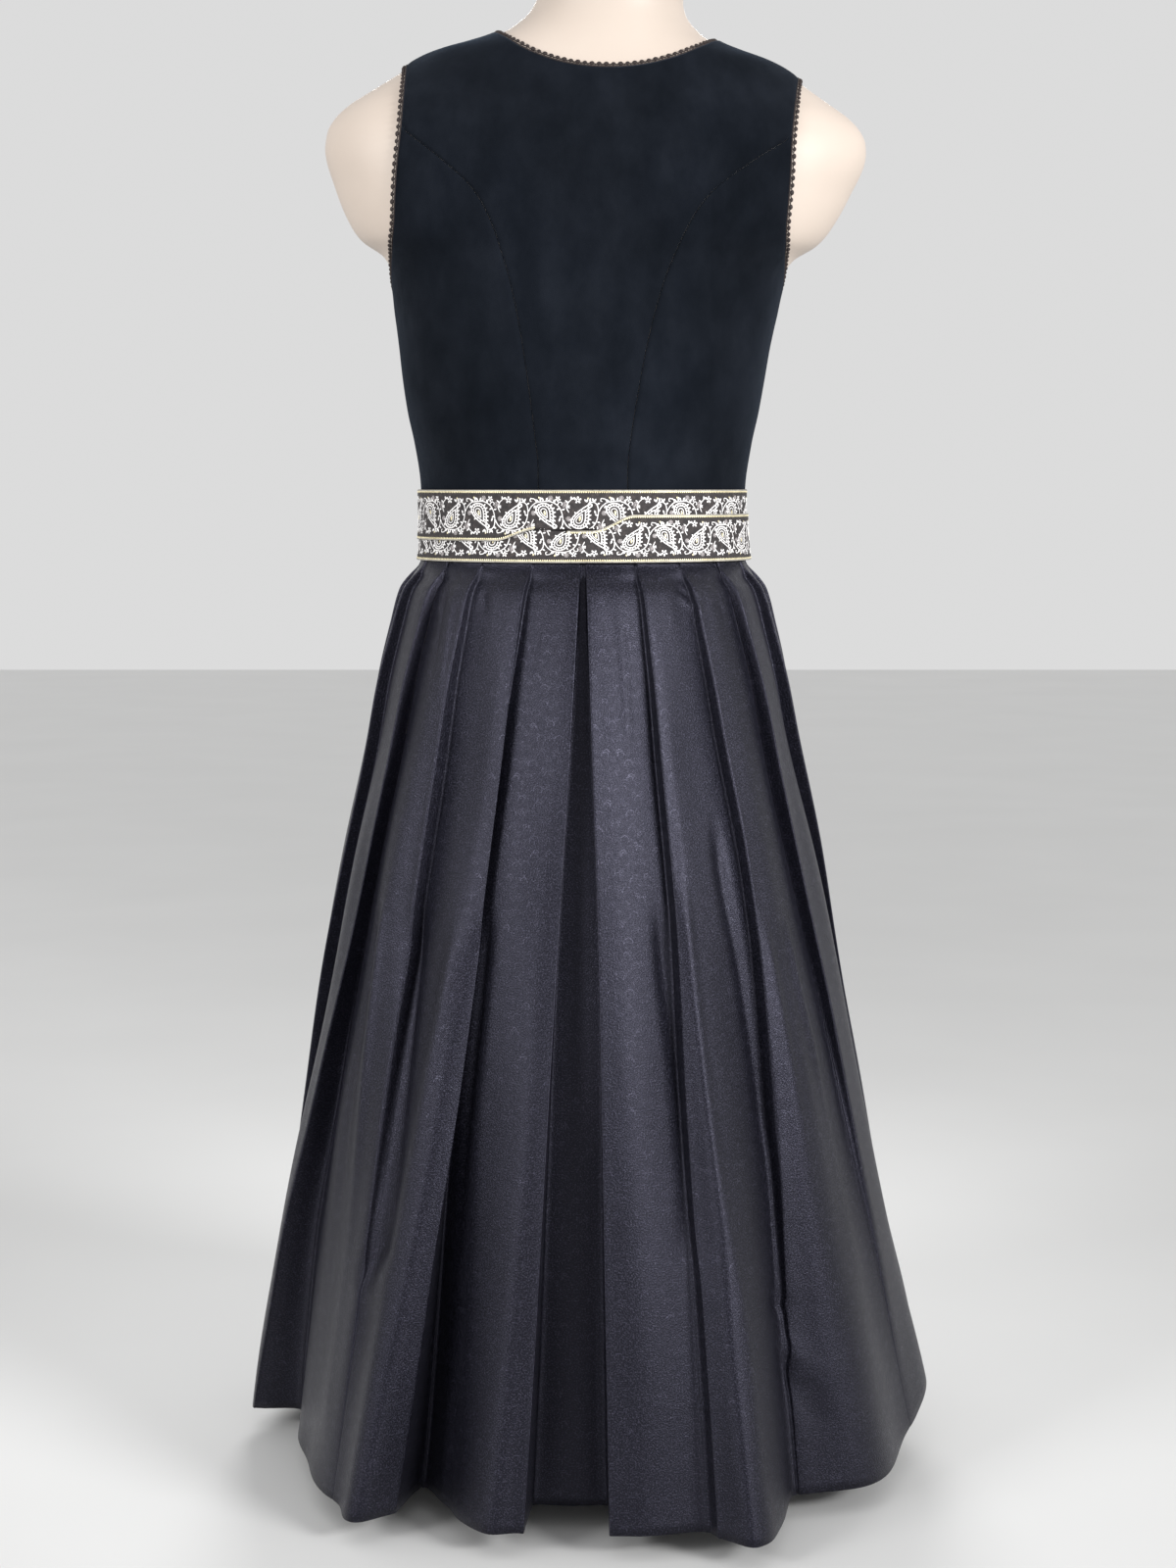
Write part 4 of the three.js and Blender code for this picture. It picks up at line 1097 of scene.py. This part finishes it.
# Single leaves on them: x, y, angle, length.
SPRAYS = [
    (3.4, 10.4, 118, 3.2), (3.4, 10.4, 66, 3.4), (1.2, 8.6, 150, 2.6), (6.6, 10.7, 96, 3.0),
    (9.0, 10.6, 50, 2.8), (9.2, 10.4, 112, 2.8), (20.4, 12.8, 150, 2.8), (20.8, 12.4, 84, 2.6),
    (23.3, 10.0, 40, 3.0), (24.2, 7.0, 160, 2.4), (13.2, -11.3, -112, 3.0),
    (15.0, -11.4, -60, 3.0), (17.6, -11.2, -96, 3.2), (19.0, -10.8, -40, 2.8),
    (12.0, -11.2, -150, 2.6), (6.6, -9.6, -80, 3.0), (7.4, -10.0, -130, 2.6),
    (1.0, -4.6, 196, 2.4), (0.6, 0.2, 24, 2.4), (26.0, -5.0, 52, 2.8), (2.6, -6.0, 30, 2.6),
    (2.2, 1.6, 70, 2.8), (22.0, 6.2, 24, 2.2), (21.6, -8.2, 66, 2.6),
]
# Leaves round the paisley: its points that carry one, length, width.
PAISLEY_HEART = np.array([15.0, -1.5])
FRINGE = [(k, 2.3, 1.25) for k in (24, 26, 28, 30, 32, 34)] + [(k, 1.9, 1.1) for k in (8, 11, 14)]


def motif():
    """Strokes of one half repeat by thread: lists of (line, width along it)."""
    outer = teardrop((8.6, 9.0), 7.4, 40)
    silver = [
        even(outer, 0.95),
        even(teardrop((5.7, 6.2), 5.2, 30, (13.6, -1.5)), 0.8),
        even(teardrop((3.0, 3.6), 3.0, 20, (13.7, -2.1)), 0.7),
    ]
    gold = [
        leaf(14.6, -4.0, 3.6, 1.5, 100), leaf(8.0, 12.6, 1.6, 1.2, 90, 4),
        leaf(18.6, -13.2, 1.6, 1.2, -90, 4),
    ]
    grey = []
    rung_out = teardrop((7.9, 8.3), 6.9, 40)
    rung_in = teardrop((6.5, 6.9), 5.8, 40, (13.6, -1.2))
    for k in range(5, 37, 2):
        silver.append((np.array([rung_out[k], rung_in[k]]), np.array([0.55, 0.75])))
    t = np.linspace(0, 4.4, 14)
    reach = 2.0 - 0.3 * t
    tip = outer[0]
    curl = np.stack([tip[0] - 1.5 + reach * np.cos(t), tip[1] + reach * np.sin(t) - 0.6], -1)
    silver.append((curl, np.linspace(1.0, 1.3, 14)))
    for k, length, width in FRINGE:
        way = outer[k] - PAISLEY_HEART
        silver.append(leaf(*outer[k], length, width, math.degrees(math.atan2(way[1], way[0]))))
    for places, steps, width in STEMS:
        silver.append(even(spline(places, steps), width))
    for x, y, size in ((15.8, 12.2, 2.5), (4.0, -13.0, 2.1)):
        silver.append(ring(x, y, size * 0.42, 0.6, 9))
        for angle in range(18, 360, 72):
            px = x + size * 0.5 * math.cos(angle * DEGREE)
            py = y + size * 0.5 * math.sin(angle * DEGREE)
            silver.append(leaf(px, py, size * 0.62, size * 0.62, angle))
    for x, y, size in ((25.6, 8.4, 2.5), (23.0, -2.2, 1.9), (9.6, -13.6, 1.9)):
        grey += [leaf(x, y, size, 0.8, angle, 4) for angle in range(10, 360, 60)]
        grey.append(ring(x, y, size * 0.9, 0.4, 10))
    silver += [leaf(x, y, length, 1.35, angle, 5) for x, y, angle, length in SPRAYS]
    return silver, grey, gold


def roof(a):
    """The two faces between three points from a and the next three."""
    b = a + 3
    return [(a, a + 1, b + 1, b), (a + 1, a + 2, b + 2, b + 1)]


def stroke_mesh(strokes):
    """(along, across, above) points and faces of flat threads with a raised middle."""
    points, faces = [], []
    for line, width in strokes:
        line, width = np.asarray(line, float), np.asarray(width, float)
        ahead = np.vstack([line[1:], line[-1:]])
        behind = np.vstack([line[:1], line[:-1]])
        way = ahead - behind
        way = way / np.maximum(np.linalg.norm(way, axis=1, keepdims=True), 1e-6)
        across = np.stack([-way[:, 1], way[:, 0]], -1) * width[:, None] / 2
        start = sum(len(p) for p in points)
        left = np.column_stack([line + across, np.full(len(line), 0.03)])
        top = np.column_stack([line, 0.08 + 0.16 * width / 1.2])
        right = np.column_stack([line - across, np.full(len(line), 0.03)])
        points.append(np.stack([left, top, right], 1).reshape(-1, 3))
        for i in range(len(line) - 1):
            faces += roof(start + 3 * i)
    return np.vstack(points), np.array(faces)


def ribbon_threads(name, upper, strokes, material):
    points, faces = stroke_mesh(strokes)
    chunks = []
    first = -math.ceil(BELT_ZERO / HALF_REPEAT) - 1
    offset = BELT_ZERO + MOTIF_SHIFT[upper]
    for k in range(first, -first + 1):
        run = offset + k * HALF_REPEAT + points[:, 0]
        if run.max() < 1 or run.min() > BELT_LENGTH - 1:
            continue
        flip = 1 if k % 2 == 0 else -1
        turn = belt_turn(run)
        z = belt_height(upper, flip * points[:, 1])
        low, high = belt_reach(upper, turn)
        inside = (run > 0.8) & (run < BELT_LENGTH - 0.8) & (z > low + 0.4) & (z < high - 0.4)
        kept = faces[inside[faces].all(axis=1)]
        if not len(kept):
            continue
        placed = belt_point(upper, turn, z, points[:, 2])
        used, kept = np.unique(kept, return_inverse=True)
        kept = kept.reshape(-1, 4)
        chunks.append((placed[used], kept[:, ::-1] if flip > 0 else kept))
    return soup_object(name, chunks, material)


def border_place(upper, side, turn, inset):
    """Height of a border that follows the edge of its pass, and whether that edge shows."""
    low, high = belt_reach(upper, turn)
    edge = high - inset if side > 0 else low + inset
    if upper == (side > 0):
        return edge, np.ones_like(turn, bool)
    return edge, turn > BELT["cross_to"] + 9 if upper else turn < BELT["cross_to"] - 1


# A tooth of the border, five points round and one raised: along, from the edge, above.
TOOTH = np.array([
    (-0.8, 1.2, 0.05), (0.8, 1.2, 0.05), (0.7, 1.75, 0.14), (0.0, 2.7, 0.08),
    (-0.7, 1.75, 0.14), (0.0, 1.6, 0.36),
])
TOOTH_FACES = [(5, k, (k + 1) % 5) for k in range(5)]
TOOTH_PITCH = 1.75
# The outer line: places from the ribbon's edge, above.
BORDER_LINE = [(0.6 + 0.425, 0.02), (0.6, 0.25), (0.6 - 0.425, 0.02)]


def edge_threads(upper):
    """The ribbon's two borders: a smooth outer line and a row of teeth inside it."""
    lines, teeth = [], []
    run = np.arange(0.6, BELT_LENGTH - 0.6, 2.0)
    turn = belt_turn(run)
    for side in (1, -1):
        rows = []
        for inset, lift in BORDER_LINE:
            z, shown = border_place(upper, side, turn, inset)
            rows.append(belt_point(upper, turn, z, lift))
        faces = []
        for i in range(len(run) - 1):
            if shown[i] and shown[i + 1]:
                faces += roof(3 * i)
        lines.append((np.stack(rows, 1).reshape(-1, 3), faces))
        for along in np.arange(1.2, BELT_LENGTH - 1.2, TOOTH_PITCH):
            t = belt_turn(along + TOOTH[:, 0])
            z, shown = border_place(upper, side, t, TOOTH[:, 1])
            if shown.all():
                teeth.append((belt_point(upper, t, z, TOOTH[:, 2]), TOOTH_FACES))
    return lines, teeth


def build_belt():
    made = []
    threads = list(zip(("paisley", "sprigs", "eyes"), motif(), (SILVER, PEWTER, GOLD)))
    for word, upper in (("upper", True), ("lower", False)):
        name = f"ribbon_{word}"
        band = piece(ribbon_band(name, upper), "ribbon", f"belt_{word}_pass")
        lines, teeth = edge_threads(upper)
        extras = [
            ribbon_threads(f"{name}_{kind}", upper, strokes, thread)
            for kind, strokes, thread in threads
        ]
        extras.append(soup_object(f"{name}_border", lines, EDGE))
        extras.append(soup_object(f"{name}_teeth", teeth, GOLD))
        for extra in extras:
            piece(extra, "ribbon")
        made.append((band, extras))
    return made


BELTS = build_belt()


# ---- skirt
def along_height(waist, middle, hem):
    return curve(FOLD_LEVELS, [hem, middle, waist])


def ridge(share, at):
    return np.where(share < at, smooth(share / at), smooth((1 - share) / (1 - at)))


RIPPLE_CURVES = []
for height, width, places in RIPPLES:
    turns, heights = zip(*places)
    RIPPLE_CURVES.append((height, width, curve(heights, turns), min(heights), max(heights)))


def skirt_relief(turn, z):
    """turn in degrees, positive on the left. How far the cloth stands out of its plain form."""
    total = np.zeros(np.broadcast(turn, z).shape)
    for height, width, line, low, high in RIPPLE_CURVES:
        fade = smooth((high - z) / 50)
        if low > HEM_HEIGHT + 5:
            fade = fade * smooth((z - low) / 50)
        total = total + height * fade * np.exp(-((turn - line(z)) / width) ** 2)
    total = total + creased(turn, z, skirt_half(z), CREASES)
    calm = smooth((715 - z) / 160)
    total = total + calm * (
        0.9 * np.sin(turn / 5.3 + z / 130)
        + 0.6 * np.sin(turn / 2.9 - z / 85 + 2.0)
        + 0.5 * np.sin(turn / 8.1 + z / 41)
    )
    gather = smooth((730 - z) / 20) * smooth((z - 640) / 60) * 0.2
    return total + gather * np.sin(turn * 0.8 + 2.1 * np.sin(z / 60))


def skirt_place(side, turn, out, z):
    """turn is from the centre back, 0 to 180."""
    angle = side * turn * DEGREE
    out = out + skirt_relief(side * turn, z)
    depth = np.where(turn < 90, skirt_back(z), skirt_front(z))
    x = (skirt_half(z) + out) * np.sin(angle)
    y = (depth + out) * np.cos(angle)
    kick = smooth((HEM_KICK["start"] - z) / (HEM_KICK["start"] - HEM_HEIGHT))
    beside = (np.arctan2(-x, y) / DEGREE - HEM_KICK["turn"]) / HEM_KICK["wide"]
    lifted = z + HEM_KICK["rise"] * kick * np.exp(-beside * beside)
    return np.stack([x, y, lifted], -1)


def spaced(width, middle):
    """Shares 0 to 1 along a stretch, close together near its ends. width is a column of sizes."""
    near = np.minimum(0.8, width / 14)
    first = near[:, None] * np.array([0, 1, 2, 3.2, 5])[None, :] / width[:, None]
    inner = np.linspace(0, 1, middle + 2)[None, 1:-1]
    between = first[:, -1:] + (1 - 2 * first[:, -1:]) * inner
    return np.concatenate([first, between, 1 - first[:, ::-1]], axis=1)


def softness(blocks):
    """How softly the cloth is rounded at the hem, for each column."""
    sizes = []
    for turn, stretch, i, before, after in blocks:
        if stretch:
            start = soft_size(i - 1, before["back"]) if before else SOFT_CENTRE
            stop = soft_size(i, not after["back"]) if after else SOFT_CENTRE
        else:
            start, stop = soft_size(i, not after["back"]), soft_size(i, after["back"])
        sizes.append(np.linspace(start, stop, turn.shape[1]))
    return np.concatenate(sizes)


def soft_size(i, at_edge):
    return (SOFT_EDGES if at_edge else SOFT_TUCKS)[i]


def softened(points, z, blocks):
    """Rounds the folds along the cloth, more and more towards the hem."""
    at_hem = softness(blocks)
    made = points.copy()
    for r, height in enumerate(z):
        low = float(smooth((SOFT_FROM - height) / (SOFT_FROM - SOFT_FULL)))
        step = np.linalg.norm(np.diff(points[r], axis=0), axis=1)
        run = run_of(points[r])
        share = np.zeros(len(run))
        share[:-1] += step / 2
        share[1:] += step / 2
        size = SOFT_TOP + (at_hem - SOFT_TOP) * low
        # never wider than the way to the cloth's own end
        size = np.clip(np.minimum(size, np.minimum(run, run[-1] - run) / 2.5), 0.05, None)
        apart = (run[:, None] - run[None, :]) / size[:, None]
        weight = np.exp(-apart * apart / 2) * share[None, :]
        made[r] = (weight / weight.sum(axis=1, keepdims=True)) @ points[r]
    return made


def fold_sizes(folds, z):
    """Each fold's sizes at each height. Lips and tucks are deeper just under the belt."""
    waist_share = smooth((721 - z) / 10) * smooth((z - 430) / 200)
    sizes = []
    for back, waist, middle, hem, *shape in folds:
        lip_m, lip_h, tuck_m, tuck_h, crest_m, crest_h, crest_at, under = shape
        sizes.append({
            "back": back,
            "edge": along_height(waist, middle, hem)(z),
            "lip": along_height(WAIST_FOLD, lip_m, lip_h)(z) + WAIST_DEPTH[0] * waist_share,
            "tuck": along_height(-WAIST_FOLD, tuck_m, tuck_h)(z) + WAIST_DEPTH[1] * waist_share,
            "crest": along_height(0, crest_m, crest_h)(z),
            "crest_at": crest_at,
            "under": along_height(0, under, under)(z),
        })
    return sizes


def fold_lines(fold):
    """(turn, out) of a fold's two lines: where a stretch ends at it and where the next starts."""
    if fold["back"]:
        return (fold["edge"] + fold["under"], fold["tuck"]), (fold["edge"], fold["lip"])
    return (fold["edge"], fold["lip"]), (fold["edge"] - fold["under"], fold["tuck"])


def blend(start, stop, share):
    """turn and out between two lines."""
    return [a[:, None] + (b - a)[:, None] * share for a, b in zip(start, stop)]


def fold_blocks(folds, z):
    """The cloth's stretches and, between them, its returns: (turn, out) grids and rows that say
    which fold lies before and after."""
    sizes = fold_sizes(folds, z)
    zeros = np.zeros_like(z)
    grids, rows = [], []
    for i, (before, after) in enumerate(zip([None, *sizes], [*sizes, None])):
        start = fold_lines(before)[1] if before else (zeros, sizes[0]["tuck"])
        if after:
            stop, beyond = fold_lines(after)
        else:
            stop = (zeros + 180, before["tuck"] / 2)
        width = np.maximum((stop[0] - start[0]) * DEGREE * skirt_half(z), 3)
        share = spaced(width, BACK_COLUMNS if i < BACK_STRETCHES else FRONT_COLUMNS)
        turn, out = blend(start, stop, share)
        if before:
            out = out + before["crest"][:, None] * ridge(share, before["crest_at"])
        grids.append((turn, out))
        rows.append((turn, True, i, before, after))
        if after:
            depth = np.maximum(np.abs(beyond[1] - stop[1]), 0.6)
            turn, out = blend(stop, beyond, spaced(depth, 4)[:, 1:-1])
            grids.append((turn, out))
            rows.append((turn, False, i, before, after))
    turn, out = (np.concatenate(part, axis=1) for part in zip(*grids))
    return turn, out, rows


def half_skirt(folds, side, z):
    """The cloth of one half, from the centre back to the centre front. Returns points, the
    pattern's run at the left and right of each strip, and the column at which each stretch ends."""
    turn, out, blocks = fold_blocks(folds, z)
    points = softened(skirt_place(side, turn, out, z[:, None]), z, blocks)
    run = run_of(points, 1)
    left, right = np.empty_like(run[:, 1:]), np.empty_like(run[:, 1:])
    ends = []
    column, base = 0, 0.0
    for turn, stretch, _, before, after in blocks:
        first, last = column, column + turn.shape[1]
        # The grain is fixed at the fold's edge, the centre back or the centre front.
        offset = base
        if stretch:
            anchor = first if before is None or before["back"] else last - 1
            a, b = first, last - 1
            ends.append((first, last - 1))
        else:
            anchor = last if after["back"] else first - 1
            a, b = first - 1, last
            base += UNDERLAP
            offset = base if after["back"] else offset
        left[:, a:b] = run[:, a:b] - run[:, anchor, None] + offset
        right[:, a:b] = run[:, a + 1:b + 1] - run[:, anchor, None] + offset
        column = last
    return points, left * side, right * side, ends


def skirt_levels():
    top = np.linspace(WAIST_SEAM, 675, 24)
    low = np.linspace(675, HEM_HEIGHT, 92)
    return np.concatenate([top, low[1:]])


def drop_of(z):
    """Length of cloth from the waist seam down to each height."""
    fine = np.linspace(HEM_HEIGHT, WAIST_SEAM, 800)
    slant = np.sqrt(1 + np.gradient(skirt_half(fine), fine) ** 2)
    down = np.concatenate([[0], np.cumsum((slant[1:] + slant[:-1]) / 2 * np.diff(fine))])
    return np.interp(WAIST_SEAM, fine, down) - np.interp(z, fine, down)


def cloth_area(points):
    a = np.cross(points[1:, :-1] - points[:-1, :-1], points[:-1, 1:] - points[:-1, :-1])
    b = np.cross(points[:-1, 1:] - points[1:, 1:], points[1:, :-1] - points[1:, 1:])
    return float((np.linalg.norm(a, axis=-1) + np.linalg.norm(b, axis=-1)).sum() / 2)


def trim(points, at, toward):
    """Moves the end column of a width half a seam gap back along the cloth."""
    step = points[:, toward] - points[:, at]
    length = np.maximum(np.linalg.norm(step, axis=1), 0.1)
    points[:, at] = points[:, at] + step * (SEAM_GAP / 2 / length)[:, None]


def skirt_width(name, points, left, right, z):
    for at, toward in ((0, 1), (-1, -2)):
        trim(points, at, toward)
    drop = np.broadcast_to(drop_of(z)[:, None], points.shape[:2])
    obj = grid_object(name, points, JACQUARD, from_axis, grid_uv(None, drop, left, right))
    hem = float(np.linalg.norm(np.diff(points[-1], axis=0), axis=1).sum())
    return thicken(obj, JACQUARD_SHEET), hem, cloth_area(points)


def joined(a, b):
    """Two halves as one width, from the far end of a through the centre line to b's end."""
    pa, la, ra = a
    pb, lb, rb = b
    return (
        np.concatenate([pa[:, :0:-1], pb], axis=1),
        np.concatenate([ra[:, ::-1], lb], axis=1),
        np.concatenate([la[:, ::-1], rb], axis=1),
    )


def build_skirt():
    """Each node's cloth with the length of its hem and its area."""
    z = skirt_levels()
    widths, backs, fronts = {}, [], []
    for (side, word), folds in zip(SIDES, (LEFT_FOLDS, RIGHT_FOLDS)):
        points, left, right, ends = half_skirt(folds, side, z)

        def cut(first, last):
            part = slice(first, last)
            return points[:, first:last + 1].copy(), left[:, part], right[:, part]

        seam_back, seam_front = ends[SIDE_SEAM_FOLD][1], ends[FRONT_SEAM_FOLD + 1][0]
        widths[f"side_{word}"] = cut(seam_back, seam_front)
        backs.append(cut(0, seam_back))
        front, front_left, front_right = cut(seam_front, points.shape[1] - 1)
        fronts.append((front[:, ::-1], front_right[:, ::-1], front_left[:, ::-1]))
    widths["back"] = joined(*reversed(backs))
    widths["front"] = joined(*reversed(fronts))
    made = {}
    for word, width in widths.items():
        made[f"skirt_{word}"] = skirt_width(f"jacquard_{word}", *width, z)
        piece(made[f"skirt_{word}"][0], "jacquard", f"skirt_{word}")
    return made


SKIRT = build_skirt()

# ---- sizes of the cloth pieces
SKIRT_LENGTH = float(drop_of(HEM_HEIGHT))
# Width and length in m and area in m2, rounded: estimates of the bodice's pattern pieces.
BODICE_SIZES = {
    "back": (0.32, 0.39, 0.064), "side_back": (0.17, 0.33, 0.040),
    "side_front": (0.16, 0.28, 0.033), "front": (0.17, 0.42, 0.030),
}
for node, obj in BODICE.items():
    cut_name = node.removeprefix("bodice_").removesuffix("_left").removesuffix("_right")
    width, length, area = BODICE_SIZES[cut_name]


# ---- floor, light and camera
FLOOR_REACH = 9.0
WORLD_LIGHT = 0.56
LIGHT_SPREAD = 42 * DEGREE
LIGHT_TARGET = (0, 0, 0.7)
# name, place in m, width and height in m, power in W
LIGHTS = [
    ("key", (-2.15, 2.0, 1.58), (1.3, 0.6), 6.4),
    ("fill", (2.2, 1.9, 1.58), (1.3, 0.6), 3.5),
    ("front_key", (0, -3.0, 1.6), (1.2, 0.8), 4.0),
]
CAMERA = {"place": (-0.003925, 2.2, 0.7929), "down": 6.44028, "lens": 62.788, "sensor": 36}
EXPOSURE = 0.35


def build_stage():
    m = Maker("floor")
    tone = m.noise(m.place(), 3, 2, 0.5)
    colour = m.ramp(tone, (0.3, (0.74, 0.74, 0.735)), (0.7, (0.76, 0.76, 0.755)))
    m.set(Base_Color=colour, Roughness=0.8)
    mesh = bpy.data.meshes.new("floor")
    corners = [(-1, -1), (1, -1), (1, 1), (-1, 1)]
    points = [(x * FLOOR_REACH, y * FLOOR_REACH, 0) for x, y in corners]
    mesh.from_pydata(points, [], [(0, 1, 2, 3)])
    mesh.materials.append(m.material)
    link("floor", mesh)


def build_light():
    world = bpy.data.worlds.new("studio")
    bpy.context.scene.world = world
    world.use_nodes = True
    back = world.node_tree.nodes["Background"]
    back.inputs["Color"].default_value = (1, 1, 1, 1)
    back.inputs["Strength"].default_value = WORLD_LIGHT
    for name, place, size, power in LIGHTS:
        light = bpy.data.lights.new(name, "AREA")
        light.shape = "RECTANGLE"
        light.size, light.size_y = size
        light.energy = power
        light.spread = LIGHT_SPREAD
        obj = link(name, light)
        obj.location = place
        way = Vector(LIGHT_TARGET) - Vector(place)
        obj.rotation_euler = way.to_track_quat("-Z", "Y").to_euler()


def build_camera():
    camera = bpy.data.cameras.new("camera")
    camera.lens = CAMERA["lens"]
    camera.sensor_width = CAMERA["sensor"]
    camera.clip_start, camera.clip_end = 0.05, 50
    obj = link("camera", camera)
    obj.location = CAMERA["place"]
    obj.rotation_euler = ((90 - CAMERA["down"]) * DEGREE, 0, math.pi)
    bpy.context.scene.camera = obj


build_stage()
build_light()
build_camera()
bpy.context.scene.view_settings.view_transform = "Standard"
bpy.context.scene.view_settings.exposure = EXPOSURE
